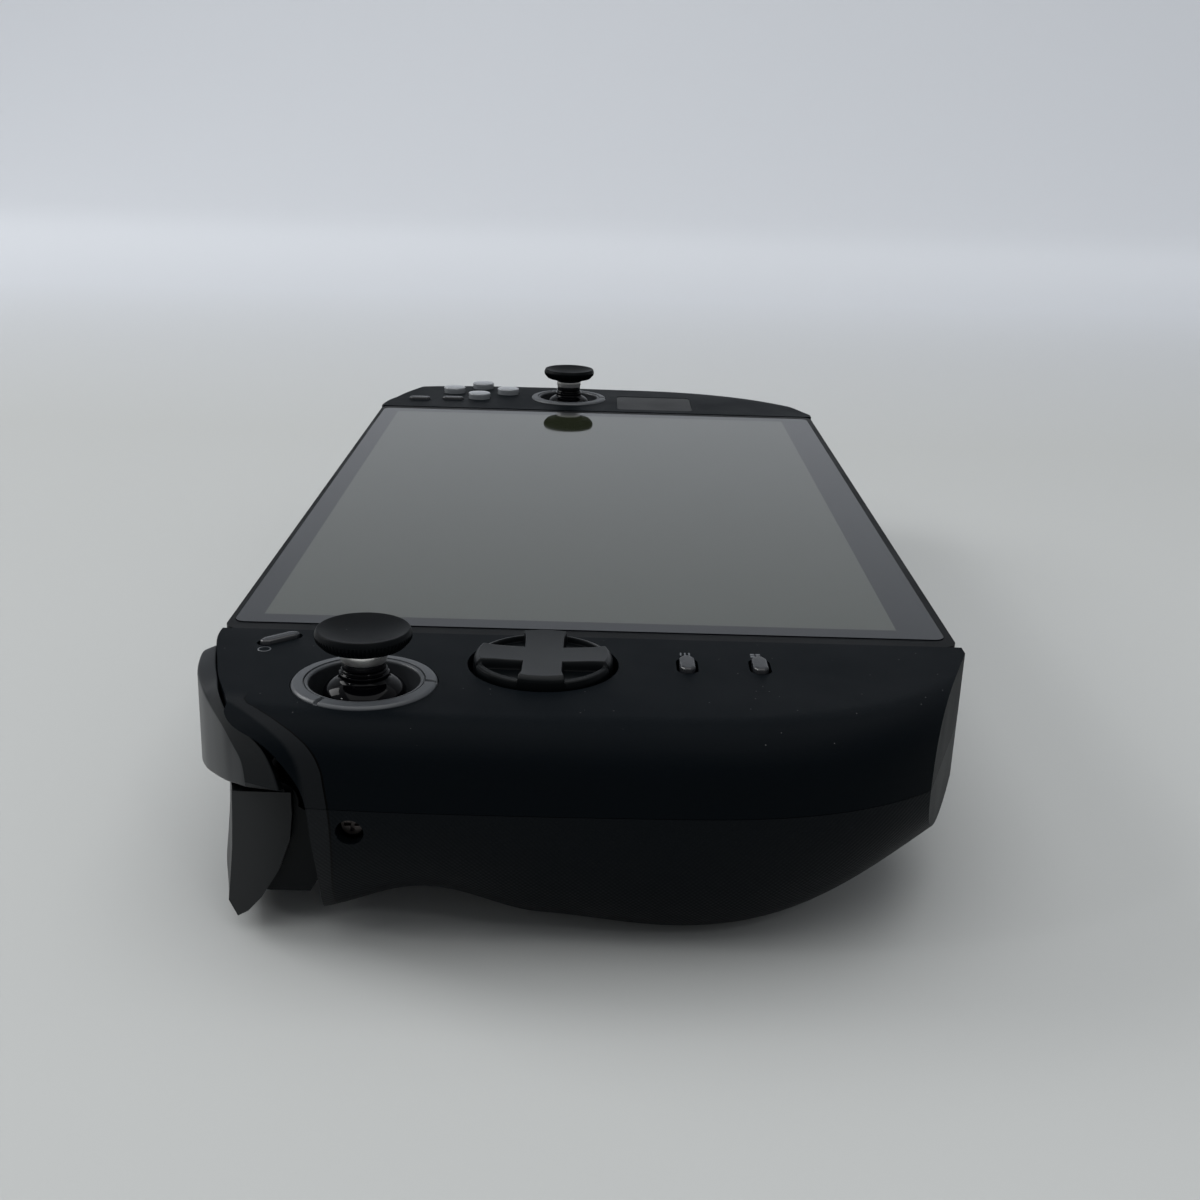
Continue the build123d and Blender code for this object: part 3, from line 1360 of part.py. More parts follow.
for side, pieces in face_pieces.items():
    stick_x, stick_y = stick_places[side]
    with BuildPart() as front_right_hand:
        add(front_blank.part)
        # room for each button's cap and flange
        for x, y, length, width, turn, proud in pieces.values():
            with BuildSketch(Plane.XY.offset(face_height)):
                button_outline(x, y, length, width, turn, button_hole_gap)
            extrude(amount=-shell_wall, mode=Mode.SUBTRACT)
            with BuildSketch(Plane.XY.offset(face_down(shell_wall))):
                button_outline(x, y, length, width, turn, button_flange + moving_gap)
            extrude(amount=shell_wall - button_room_drop, mode=Mode.SUBTRACT)
        # seat for the stick's ring, and the hole for its tube
        with BuildSketch(Plane.XY.offset(face_down(stick_ring_thickness - stick_ring_proud + seat_gap))):
            with Locations((stick_x, stick_y)):
                Circle(stick_ring_radius + seat_gap)
        extrude(amount=stick_ring_thickness + cut_overrun, mode=Mode.SUBTRACT)
        with BuildSketch(Plane.XY.offset(face_height)):
            with Locations((stick_x, stick_y)):
                Circle(stick_tube_radius + seat_gap)
        extrude(amount=-stick_tube_drop - moving_gap, mode=Mode.SUBTRACT)
        if side == "left":
            # well for the direction pad, with ears under it for its rocker
            with BuildSketch(Plane.XY.offset(face_down(well_boss_drop))):
                with Locations((dpad_x, dpad_y)):
                    Circle(dpad_well_radius + dpad_well_floor)
                with Locations((controller_inner - half_length / 2, 0)):
                    Rectangle(half_length, console_depth, mode=Mode.SUBTRACT)
            extrude(amount=well_boss_drop - shell_wall / 2)
            with BuildSketch(Plane.XY.offset(face_down(dpad_well_drop))):
                with Locations((dpad_x, dpad_y)):
                    Circle(dpad_well_radius)
            extrude(amount=dpad_well_drop, mode=Mode.SUBTRACT)
            with BuildSketch(Plane.XY.offset(face_down(dpad_pivot_drop + rocker_ear_reach))):
                for x_side in (-1, 1):
                    with Locations((dpad_x + x_side * (rocker_ear_x + rocker_ear_thickness / 2), dpad_y)):
                        Rectangle(rocker_ear_thickness, 2 * rocker_ear_half_y)
            extrude(amount=dpad_pivot_drop + rocker_ear_reach - dpad_well_drop)
            with BuildSketch(end_plane(dpad_x - rocker_ear_x - rocker_ear_thickness)):
                with Locations((dpad_y, face_down(dpad_pivot_drop))):
                    Circle(rocker_axle_radius + running_clearance)
            extrude(amount=2 * (rocker_ear_x + rocker_ear_thickness), mode=Mode.SUBTRACT)
            with BuildSketch(Plane.XY.offset(face_down(well_boss_drop))):
                with Locations((dpad_x, dpad_y)):
                    Circle(dpad_hole_radius)
            extrude(amount=well_boss_drop, mode=Mode.SUBTRACT)
        else:
            with BuildSketch(Plane.XY.offset(face_height)):
                with Locations((pad_x, pad_y)):
                    RectangleRounded(pad_length + 2 * seat_gap, pad_depth + 2 * seat_gap, pad_corner)
            extrude(amount=-pad_thickness - seat_gap, mode=Mode.SUBTRACT)
    front_shell = to_side(front_right_hand.part, side)
    front_shell.label = f"{side}_front_shell"
    export_step(front_shell, f"parts/{side}_front_shell.step")

    rear_shell = to_side(rear_blank.part, side)
    rear_shell.label = f"{side}_rear_shell"
    export_step(rear_shell, f"parts/{side}_rear_shell.step")

    for name, (x, y, length, width, turn, proud) in pieces.items():
        edge_round = button_rounds.get(length, pill_round)
        cap = to_side(button(x, y, length, width, turn, proud, edge_round), side)
        cap.label = name
        export_step(cap, f"parts/{name}.step")

    # plate that closes the controller's inner end, with the tongue for the tablet's rail
    with BuildPart() as side_plate_right_hand:
        add(plate_form)
        add(slab_between(controller_inner + seat_gap, side_plate_thickness), mode=Mode.INTERSECT)
        add(solid_upper_near, mode=Mode.SUBTRACT)
        add(solid_lower_near, mode=Mode.SUBTRACT)
        if side == "left":
            with BuildSketch(Plane.XY.offset(face_down(well_boss_drop + seat_gap))):
                with Locations((dpad_x, dpad_y)):
                    Circle(dpad_well_radius + dpad_well_floor + seat_gap)
            extrude(amount=well_boss_drop, mode=Mode.SUBTRACT)
        with BuildSketch(end_plane(tablet_side - rail_depth + rail_wall + moving_gap)):
            with Locations((0, port_height)):
                Rectangle(
                    rail_length - 2 * rail_wall - 2 * moving_gap,
                    rail_height - 2 * rail_wall - 2 * moving_gap,
                )
        extrude(amount=rail_depth - rail_wall - moving_gap + controller_gap + 2 * seat_gap)
    side_plate = to_side(side_plate_right_hand.part, side)
    side_plate.label = f"{side}_side_plate"
    export_step(side_plate, f"parts/{side}_side_plate.step")

    with BuildPart() as board_right_hand:
        with BuildSketch(Plane.XY.offset(face_down(controller_board_drop + board_thickness))):
            with Locations(
                (
                    (controller_board_x + controller_board_far_x) / 2,
                    (controller_board_y + controller_board_far_y) / 2,
                )
            ):
                Rectangle(
                    controller_board_far_x - controller_board_x,
                    controller_board_far_y - controller_board_y,
                )
            with Locations(*back_screw_points):
                Circle(controller_board_hole, mode=Mode.SUBTRACT)
        extrude(amount=board_thickness)
    circuit_board = to_side(board_right_hand.part, side)
    circuit_board.label = f"{side}_circuit_board"
    export_step(circuit_board, f"parts/{side}_circuit_board.step")

    battery_top_drop = controller_board_drop + board_thickness + seat_gap
    with BuildPart() as battery_right_hand:
        with BuildSketch(Plane.XY.offset(face_down(battery_top_drop + controller_battery_thickness))):
            with Locations((controller_battery_x, controller_battery_y)):
                RectangleRounded(controller_battery_length, controller_battery_depth, pad_corner)
        extrude(amount=controller_battery_thickness)
    battery = to_side(battery_right_hand.part, side)
    battery.label = f"{side}_battery"
    export_step(battery, f"parts/{side}_battery.step")

    with BuildPart() as screws_right_hand:
        end_seat = Plane(origin=(end_screw_head_x, end_screw_y, face_down(end_screw_drop)), z_dir=(-1, 0, 0))
        add(screw(end_seat, end_screw_length))
        for x, y in back_screw_points:
            seat_z = face_down(back_screw_head_drop) + screw_head_height
            add(screw(Plane(origin=(x, y, seat_z), z_dir=(0, 0, 1)), back_screw_length))
    screws = to_side(screws_right_hand.part, side)
    screws.label = f"{side}_screws"
    export_step(screws, f"parts/{side}_screws.step")

    # stick: ring, base, yoke, post and cap, with their pivot under the middle of the ring
    pivot_z = face_down(stick_pivot_drop)
    stick_axis = Axis((stick_x, stick_y, 0), (0, 0, 1))
    stick_section = Plane(origin=(stick_x, stick_y, pivot_z), x_dir=(1, 0, 0), z_dir=(0, -1, 0))
    pivot_end = Plane(origin=(stick_x, stick_y, pivot_z), x_dir=(0, 1, 0), z_dir=(1, 0, 0))
    with BuildPart() as ring_right_hand:
        with BuildSketch(Plane.XY.offset(face_down(stick_ring_thickness - stick_ring_proud))):
            with Locations((stick_x, stick_y)):
                Circle(stick_ring_radius)
        extrude(amount=stick_ring_thickness)
        fillet(ring_right_hand.edges().group_by(Axis.Z)[-1], radius=stick_ring_proud)
        with BuildSketch(Plane.XY.offset(face_down(stick_tube_drop))):
            with Locations((stick_x, stick_y)):
                Circle(stick_tube_radius)
        extrude(amount=stick_tube_drop)
        with BuildSketch(Plane.XY.offset(face_down(stick_tube_drop))):
            with Locations((stick_x, stick_y)):
                Circle(stick_well_radius)
        extrude(amount=stick_tube_drop + stick_ring_thickness, mode=Mode.SUBTRACT)
    stick_ring = to_side(ring_right_hand.part, side)
    stick_ring.label = f"{side}_stick_ring"
    export_step(stick_ring, f"parts/{side}_stick_ring.step")

    with BuildPart() as base_right_hand:
        with BuildSketch(Plane.XY.offset(pivot_z - stick_base_fall)):
            with Locations((stick_x, stick_y)):
                Rectangle(2 * stick_base_half, 2 * stick_base_half)
        extrude(amount=stick_base_fall + stick_base_rise)
        with BuildSketch(Plane.XY.offset(pivot_z - stick_base_fall + stick_base_wall)):
            with Locations((stick_x, stick_y)):
                Rectangle(2 * stick_base_half - 2 * stick_base_wall, 2 * stick_base_half - 2 * stick_base_wall)
        extrude(amount=stick_base_fall + stick_base_rise, mode=Mode.SUBTRACT)
        with BuildSketch(pivot_end.offset(-stick_base_half)):
            Circle(stick_axle_radius + running_clearance)
        extrude(amount=2 * stick_base_half, mode=Mode.SUBTRACT)
    stick_base = to_side(base_right_hand.part, side)
    stick_base.label = f"{side}_stick_base"
    export_step(stick_base, f"parts/{side}_stick_base.step")

    with BuildPart() as yoke_right_hand:
        with BuildSketch(Plane.XY.offset(pivot_z - stick_yoke_half_z)):
            with Locations((stick_x, stick_y)):
                Rectangle(2 * stick_yoke_half_x, 2 * stick_yoke_half_y)
                Rectangle(2 * stick_yoke_slot_x, 2 * stick_yoke_slot_y, mode=Mode.SUBTRACT)
        extrude(amount=2 * stick_yoke_half_z)
        for x_side in (-1, 1):
            with BuildSketch(pivot_end.offset(x_side * stick_yoke_half_x)):
                Circle(stick_axle_radius)
            extrude(amount=x_side * (stick_axle_reach - stick_yoke_half_x))
        with BuildSketch(stick_section.offset(-stick_yoke_half_y)):
            Circle(stick_pin_radius + running_clearance)
        extrude(amount=2 * stick_yoke_half_y, mode=Mode.SUBTRACT)
    stick_yoke = to_side(yoke_right_hand.part, side)
    stick_yoke.label = f"{side}_stick_yoke"
    export_step(stick_yoke, f"parts/{side}_stick_yoke.step")

    inner_dome = stick_dome_radius - stick_dome_wall
    reach_share = stick_dome_reach / stick_dome_radius
    fall_share = (1 - reach_share**2) ** 0.5
    middle_reach = (stick_dome_reach + stick_neck_radius) / 2
    inner_middle = (inner_dome * reach_share + stick_post_radius) / 2
    bell_top = stick_pivot_drop + stick_bell_top
    band_top = stick_pivot_drop + stick_band_top
    socket_top = stick_pivot_drop + stick_cap_socket_top - seat_gap
    peg_radius = stick_cap_socket - seat_gap
    with BuildPart() as post_right_hand:
        with BuildSketch(stick_section):
            with BuildLine():
                Polyline(
                    (stick_post_radius, (inner_dome**2 - stick_post_radius**2) ** 0.5),
                    (stick_post_radius, -stick_post_fall),
                    (0, -stick_post_fall),
                    (0, socket_top),
                    (peg_radius, socket_top),
                    (peg_radius, band_top),
                    (stick_band_radius, band_top),
                    (stick_band_radius, bell_top),
                    (stick_bell_radius, bell_top),
                )
                ThreePointArc(
                    (stick_bell_radius, bell_top),
                    (stick_bell_radius, (bell_top + stick_dome_radius) / 2),
                    (stick_neck_radius, (stick_dome_radius**2 - stick_neck_radius**2) ** 0.5),
                )
                ThreePointArc(
                    (stick_neck_radius, (stick_dome_radius**2 - stick_neck_radius**2) ** 0.5),
                    (middle_reach, (stick_dome_radius**2 - middle_reach**2) ** 0.5),
                    (stick_dome_reach, stick_dome_radius * fall_share),
                )
                Line(
                    (stick_dome_reach, stick_dome_radius * fall_share),
                    (inner_dome * reach_share, inner_dome * fall_share),
                )
                ThreePointArc(
                    (inner_dome * reach_share, inner_dome * fall_share),
                    (inner_middle, (inner_dome**2 - inner_middle**2) ** 0.5),
                    (stick_post_radius, (inner_dome**2 - stick_post_radius**2) ** 0.5),
                )
            make_face()
        revolve(axis=stick_axis)
        with BuildSketch(stick_section.offset(-stick_pin_reach)):
            Circle(stick_pin_radius)
        extrude(amount=2 * stick_pin_reach)
    stick_post = to_side(post_right_hand.part, side)
    stick_post.label = f"{side}_stick_post"
    export_step(stick_post, f"parts/{side}_stick_post.step")

    cap_bottom = band_top + seat_gap
    cap_under = stick_pivot_drop + stick_cap_under
    cap_top = stick_pivot_drop + stick_cap_top
    with BuildPart() as cap_right_hand:
        with BuildSketch(stick_section):
            with BuildLine():
                Polyline(
                    (0, cap_top - stick_cap_dip),
                    (0, socket_top + seat_gap),
                    (stick_cap_socket, socket_top + seat_gap),
                    (stick_cap_socket, cap_bottom),
                    (stick_cap_collar, cap_bottom),
                    (stick_cap_collar, cap_under),
                    (stick_cap_rim, cap_under + seat_gap),
                    (stick_cap_radius, stick_pivot_drop + stick_cap_edge_bottom),
                    (stick_cap_radius, stick_pivot_drop + stick_cap_edge_top),
                )
                Spline(
                    (stick_cap_radius, stick_pivot_drop + stick_cap_edge_top),
                    (stick_cap_rim, cap_top),
                    (stick_cap_rim / 2, cap_top - 3 * stick_cap_dip / 4),
                    (0, cap_top - stick_cap_dip),
                    tangents=[(0, 1), (-1, 0)],
                )
            make_face()
        revolve(axis=stick_axis)
    stick_cap = to_side(cap_right_hand.part, side)
    stick_cap.label = f"{side}_stick_cap"
    export_step(stick_cap, f"parts/{side}_stick_cap.step")

    # buttons on the back, cut from the shell's own form so that they follow its curve
    for name, (x, y, length, depth, top_drop) in back_buttons.items():
        with BuildPart() as plug_right_hand:
            with BuildSketch(Plane.XY.offset(-cut_overrun)):
                with Locations((x, y)):
                    RectangleRounded(length - 2 * moving_gap, depth - 2 * moving_gap, back_button_corner)
            extrude(amount=face_down(top_drop) + cut_overrun + 2 * back_button_flange)
            add(proud_form, mode=Mode.INTERSECT)
            add(flange_top_form, mode=Mode.SUBTRACT)
        with BuildPart() as back_right_hand:
            with BuildSketch(Plane.XY.offset(-cut_overrun)):
                with Locations((x, y)):
                    Rectangle(length + 2 * back_button_flange, depth + 2 * back_button_flange)
            extrude(amount=face_down(top_drop) + cut_overrun + 2 * back_button_flange)
            add(flange_form, mode=Mode.INTERSECT)
            add(flange_top_form, mode=Mode.SUBTRACT)
            add(plug_right_hand.part)
        back_piece = to_side(back_right_hand.part, side)
        back_piece.label = f"{side}_{name}"
        export_step(back_piece, f"parts/{side}_{name}.step")

    bumper = to_side(bumper_right_hand.part, side)
    bumper.label = f"{side}_bumper"
    export_step(bumper, f"parts/{side}_bumper.step")

    trigger = to_side(trigger_right_hand.part, side)
    trigger.label = f"{side}_trigger"
    export_step(trigger, f"parts/{side}_trigger.step")

with BuildPart() as touchpad:
    with BuildSketch(Plane.XY.offset(face_down(pad_thickness))):
        with Locations((pad_x, pad_y)):
            RectangleRounded(pad_length, pad_depth, pad_corner)
    extrude(amount=pad_thickness - seat_gap)
touchpad.part.label = "touchpad"
export_step(touchpad.part, "parts/touchpad.step")

# Direction pad of the left controller and the rocker that carries it, drawn to the right and mirrored
rocker_z = face_down(dpad_pivot_drop)
rocker_end = Plane(origin=(dpad_x, dpad_y, rocker_z), x_dir=(0, 1, 0), z_dir=(1, 0, 0))
rocker_section = Plane(origin=(dpad_x, dpad_y, rocker_z), x_dir=(1, 0, 0), z_dir=(0, -1, 0))
with BuildPart() as rocker_right_hand:
    with BuildSketch(Plane.XY.offset(rocker_z - rocker_half_z)):
        with Locations((dpad_x, dpad_y)):
            Rectangle(2 * rocker_half_x, 2 * rocker_half_y)
            Rectangle(2 * rocker_slot_x, 2 * rocker_slot_y, mode=Mode.SUBTRACT)
    extrude(amount=2 * rocker_half_z)
    for x_side in (-1, 1):
        with BuildSketch(rocker_end.offset(x_side * rocker_half_x)):
            Circle(rocker_axle_radius)
        extrude(amount=x_side * (rocker_axle_reach - rocker_half_x))
    with BuildSketch(rocker_section.offset(-rocker_half_y)):
        Circle(rocker_pin_radius)
    extrude(amount=2 * rocker_half_y)
with BuildPart() as dpad_rocker:
    mirror(rocker_right_hand.part, about=Plane.YZ)
dpad_rocker.part.label = "dpad_rocker"
export_step(dpad_rocker.part, "parts/dpad_rocker.step")

with BuildPart() as dpad_right_hand:
    with BuildSketch(Plane.XY.offset(face_down(dpad_dish_bottom))):
        with Locations((dpad_x, dpad_y)):
            Circle(dpad_dish_radius)
    extrude(amount=dpad_dish_bottom - dpad_dish_top)
    arm_length = 2 * (dpad_dish_radius - seat_gap)
    with BuildSketch(Plane.XY.offset(face_down(dpad_dish_top))):
        with Locations((dpad_x, dpad_y)):
            RectangleRounded(arm_length, dpad_arm_width, dpad_arm_round)
            RectangleRounded(dpad_arm_width, arm_length, dpad_arm_round)
    extrude(amount=dpad_dish_top + dpad_arm_top)
    fillet(dpad_right_hand.faces().sort_by(Axis.Z)[-1].edges(), radius=dpad_arm_round)
    with BuildSketch(Plane.XY.offset(rocker_z - dpad_stem_fall)):
        with Locations((dpad_x, dpad_y)):
            Circle(dpad_stem_radius)
    extrude(amount=dpad_pivot_drop - dpad_dish_bottom + dpad_stem_fall)
    with BuildSketch(rocker_section.offset(-dpad_stem_radius)):
        Circle(rocker_pin_radius + running_clearance)
    extrude(amount=2 * dpad_stem_radius, mode=Mode.SUBTRACT)
with BuildPart() as dpad:
    mirror(dpad_right_hand.part, about=Plane.YZ)
dpad.part.label = "dpad"
export_step(dpad.part, "parts/dpad.step")
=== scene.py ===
import json
import math

import bmesh
import bpy
import numpy as np
from mathutils import Matrix, Vector


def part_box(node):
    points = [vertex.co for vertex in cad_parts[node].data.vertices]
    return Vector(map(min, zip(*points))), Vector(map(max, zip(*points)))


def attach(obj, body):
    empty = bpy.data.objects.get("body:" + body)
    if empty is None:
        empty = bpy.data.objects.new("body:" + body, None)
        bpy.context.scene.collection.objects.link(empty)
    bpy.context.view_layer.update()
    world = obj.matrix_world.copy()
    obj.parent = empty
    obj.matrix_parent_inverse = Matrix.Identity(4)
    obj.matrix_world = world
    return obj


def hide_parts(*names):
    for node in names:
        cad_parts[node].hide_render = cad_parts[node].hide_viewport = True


bl_info = {
    "name": "Handheld console",
    "version": (1, 0, 0),
    "blender": (4, 5, 0),
    "location": "View3D > Sidebar > Console",
    "description": "Dresses the console's frame with its detailed pieces, finishes, floor and lamps",
    "category": "Add Mesh",
}

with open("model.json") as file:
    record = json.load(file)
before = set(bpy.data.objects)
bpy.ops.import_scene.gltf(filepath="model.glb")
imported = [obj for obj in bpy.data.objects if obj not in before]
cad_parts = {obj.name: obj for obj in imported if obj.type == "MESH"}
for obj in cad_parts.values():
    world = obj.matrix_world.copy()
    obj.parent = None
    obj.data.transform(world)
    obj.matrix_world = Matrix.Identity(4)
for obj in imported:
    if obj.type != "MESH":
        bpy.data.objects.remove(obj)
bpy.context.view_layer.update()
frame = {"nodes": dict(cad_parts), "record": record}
nodes = frame["nodes"]
MM = 0.001
SIDES = {"left": -1.0, "right": 1.0}


def middle(node):
    """Middle of a CAD node at rest, in metres."""
    low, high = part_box(node)
    return np.array([(low[i] + high[i]) / 2 for i in range(3)])


def face():
    """Height of the controllers' faces: the top of their front shells."""
    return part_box("left_front_shell")[1][2]


# Surfaces
def weld(obj, distance=1e-6):
    """Closes seams and poles by merging points that lie together, then turns every face outwards."""
    bm = bmesh.new()
    bm.from_mesh(obj.data)
    bmesh.ops.remove_doubles(bm, verts=bm.verts, dist=distance)
    bmesh.ops.dissolve_degenerate(bm, edges=bm.edges, dist=distance)
    bmesh.ops.recalc_face_normals(bm, faces=bm.faces)
    bm.to_mesh(obj.data)
    bm.free()
    return obj


def surface(name, points, close_u=False, close_v=False, caps=False, share=None):
    """A mesh over a grid of points (u, v, xyz). Each cell is one four-sided face; a closed direction
    joins its last row to its first. With caps, the first and last rows get one flat face each. A share for
    each point, 0 to 1, is kept on the mesh for a finish to use."""
    points = np.asarray(points, float)
    rows, cols = points.shape[:2]
    u = np.arange(rows if close_u else rows - 1)
    v = np.arange(cols if close_v else cols - 1)
    uu, vv = np.meshgrid(u, v, indexing="ij")
    u2, v2 = (uu + 1) % rows, (vv + 1) % cols
    quads = np.stack([uu * cols + vv, uu * cols + v2, u2 * cols + v2, u2 * cols + vv], -1).reshape(-1, 4)
    faces = quads.tolist()
    if caps:
        faces.append(list(range(cols)))
        faces.append([(rows - 1) * cols + i for i in range(cols)])
    mesh = bpy.data.meshes.new(name)
    mesh.from_pydata(points.reshape(-1, 3).tolist(), [], faces)
    mesh.polygons.foreach_set("use_smooth", np.ones(len(mesh.polygons), bool))
    if share is not None:
        kept = mesh.attributes.new("share", "FLOAT", "POINT")
        kept.data.foreach_set("value", np.ravel(share).astype(np.float32))
    obj = bpy.data.objects.new(name, mesh)
    bpy.context.scene.collection.objects.link(obj)
    return weld(obj)


def rounded_line(corners, rounds, steps=5):
    """A line through corners whose bends are quadratic curves: each corner P gives
    (1-t)^2 (P-a) + 2t(1-t) P + t^2 (P+b), with a and b its round's length along the two legs."""
    corners = np.asarray(corners, float)
    line = [corners[0]]
    for i in range(1, len(corners) - 1):
        p = corners[i]
        before, after = corners[i - 1] - p, corners[i + 1] - p
        reach = min(rounds[i], 0.49 * np.linalg.norm(before), 0.49 * np.linalg.norm(after))
        start = p + before / max(np.linalg.norm(before), 1e-9) * reach
        end = p + after / max(np.linalg.norm(after), 1e-9) * reach
        if reach <= 0:
            line.append(p)
            continue
        t = np.linspace(0, 1, steps)[:, None]
        line.extend((1 - t) ** 2 * start + 2 * t * (1 - t) * p + t**2 * end)
    line.append(corners[-1])
    return np.array(line)


def turned(name, profile, centre, turns=96, ripple=None):
    """A profile of (radius, height) turned about an upright line: x = r cos a, y = r sin a, z = h.
    ripple(a, r, h) gives a change of radius."""
    profile = np.asarray(profile, float)
    a = np.linspace(0, 2 * np.pi, turns, endpoint=False)
    r = np.repeat(profile[:, 0][:, None], turns, 1)
    h = np.repeat(profile[:, 1][:, None], turns, 1)
    aa = np.repeat(a[None, :], len(profile), 0)
    if ripple is not None:
        r = r + ripple(aa, r, h)
    points = np.stack([centre[0] + r * np.cos(aa), centre[1] + r * np.sin(aa), centre[2] + h], -1)
    return surface(name, points, close_v=True)


def rounded_rectangle(length, width, corner, inset, steps=7):
    """Outline of a rectangle with round corners, drawn in by an inset."""
    x, y = length / 2 - inset, width / 2 - inset
    corner = max(corner - inset, 1e-5)
    a = np.linspace(0, np.pi / 2, steps)
    quarter = np.stack([np.cos(a), np.sin(a)], -1) * corner
    parts = []
    for k, (sx, sy) in enumerate(((1, 1), (-1, 1), (-1, -1), (1, -1))):
        c, s = math.cos(k * math.pi / 2), math.sin(k * math.pi / 2)
        turn = np.array([[c, s], [-s, c]])
        parts.append(quarter @ turn + np.array([sx * (x - corner), sy * (y - corner)]))
    return np.concatenate(parts)


def pressed(name, outline, rings, centre, turn=0.0):
    """A piece built of outlines above each other: ring k is outline(inset_k) at height_k. The first and
    the last ring are closed with one face each."""
    stack = []
    c, s = math.cos(turn), math.sin(turn)
    for inset, height in rings:
        flat = outline(inset)
        x = flat[:, 0] * c - flat[:, 1] * s + centre[0]
        y = flat[:, 0] * s + flat[:, 1] * c + centre[1]
        stack.append(np.stack([x, y, np.full(len(flat), height + centre[2])], -1))
    return surface(name, np.array(stack), close_v=True, caps=True)


def sharp(obj, angle=35.0):
    """Keeps crisp edges where faces meet at more than an angle, and smooth shading elsewhere."""
    split = obj.modifiers.new("crisp edges", "EDGE_SPLIT")
    split.split_angle = math.radians(angle)
    split.use_edge_sharp = False
    return obj


def carried(node, angle=30.0):
    """A CAD node kept as it is: its loose triangles are joined and shaded smoothly between crisp edges."""
    obj = nodes[node]
    obj.data.polygons.foreach_set("use_smooth", np.ones(len(obj.data.polygons), bool))
    merge = obj.modifiers.new("joined points", "WELD")
    merge.merge_threshold = 0.00001
    return sharp(obj, angle)


# Finishes
def group(name, inputs, outputs):
    """An empty shader node group with named inputs and outputs."""
    tree = bpy.data.node_groups.new(name, "ShaderNodeTree")
    for label, kind, value in inputs:
        socket = tree.interface.new_socket(label, in_out="INPUT", socket_type=kind)
        if value is not None:
            socket.default_value = value
    for label, kind in outputs:
        tree.interface.new_socket(label, in_out="OUTPUT", socket_type=kind)
    return tree, tree.nodes.new("NodeGroupInput").outputs, tree.nodes.new("NodeGroupOutput").inputs


def connect(tree, value, socket):
    """Gives an input a number, a colour or another node's output."""
    if isinstance(value, bpy.types.NodeSocket):
        tree.links.new(value, socket)
    else:
        socket.default_value = (*value, 1) if socket.type == "RGBA" else value


def math_node(tree, operation, first, second=None, clamp=False):
    """The result of a sum on outputs or numbers."""
    node = tree.nodes.new("ShaderNodeMath")
    node.operation = operation
    node.use_clamp = clamp
    connect(tree, first, node.inputs[0])
    if second is not None:
        connect(tree, second, node.inputs[1])
    return node.outputs[0]


def ramp_node(tree, value, low, high, at_low, at_high, smooth=True):
    """Goes from one number to another as a value goes from low to high, smoothly or in a straight line."""
    node = tree.nodes.new("ShaderNodeMapRange")
    if smooth:
        node.interpolation_type = "SMOOTHSTEP"
    for name, number in (("From Min", low), ("From Max", high), ("To Min", at_low), ("To Max", at_high)):
        node.inputs[name].default_value = number
    tree.links.new(value, node.inputs["Value"])
    return node.outputs["Result"]


def mixed(tree, share, first, second):
    """The first colour where the share is 0, the second where it is 1, and a mix between."""
    node = tree.nodes.new("ShaderNodeMix")
    node.data_type = "RGBA"
    for label, value in (("Factor", share), ("A", first), ("B", second)):
        connect(tree, value, node.inputs[label])
    return node.outputs["Result"]


def called(tree, name, place, **numbers):
    """A use of a node group at a place. An input's name is given with _ for its space."""
    node = tree.nodes.new("ShaderNodeGroup")
    node.node_tree = groups[name]
    for label, number in numbers.items():
        node.inputs[label.replace("_", " ")].default_value = number
    tree.links.new(place, node.inputs["Vector"])
    return node.outputs


def axes(tree, place):
    """X, Y and Z of a place or direction."""
    node = tree.nodes.new("ShaderNodeSeparateXYZ")
    tree.links.new(place, node.inputs["Vector"])
    return node.outputs


def empty_material(name):
    """A new material with its node tree, its shader's inputs and its Object coordinates."""
    mat = bpy.data.materials.new(name)
    mat.use_nodes = True
    place = mat.node_tree.nodes.new("ShaderNodeTexCoord")
    return mat, mat.node_tree, mat.node_tree.nodes["Principled BSDF"].inputs, place.outputs["Object"]


def parts_of(mat):
    """The node tree, the shader's inputs and the Object coordinates of a material made before."""
    tree = mat.node_tree
    place = next(node for node in tree.nodes if node.type == "TEX_COORD")
    return tree, tree.nodes["Principled BSDF"].inputs, place.outputs["Object"]


def source(socket):
    """The output that feeds an input."""
    return socket.links[0].from_socket


def fine_grain_group():
    """Moulded plastic's finish: a fine noise as a height, and a slow blotch as a value."""
    tree, into, out = group(
        "fine grain",
        [("Vector", "NodeSocketVector", None), ("Grain Size", "NodeSocketFloat", 3000.0),
         ("Blotch Size", "NodeSocketFloat", 40.0)],
        [("Height", "NodeSocketFloat"), ("Blotch", "NodeSocketFloat")],
    )
    for size, detail, result in (("Grain Size", 2.0, "Height"), ("Blotch Size", 3.0, "Blotch")):
        noise = tree.nodes.new("ShaderNodeTexNoise")
        noise.inputs["Detail"].default_value = detail
        tree.links.new(into["Vector"], noise.inputs["Vector"])
        tree.links.new(into[size], noise.inputs["Scale"])
        tree.links.new(noise.outputs["Fac"], out[result])
    return tree


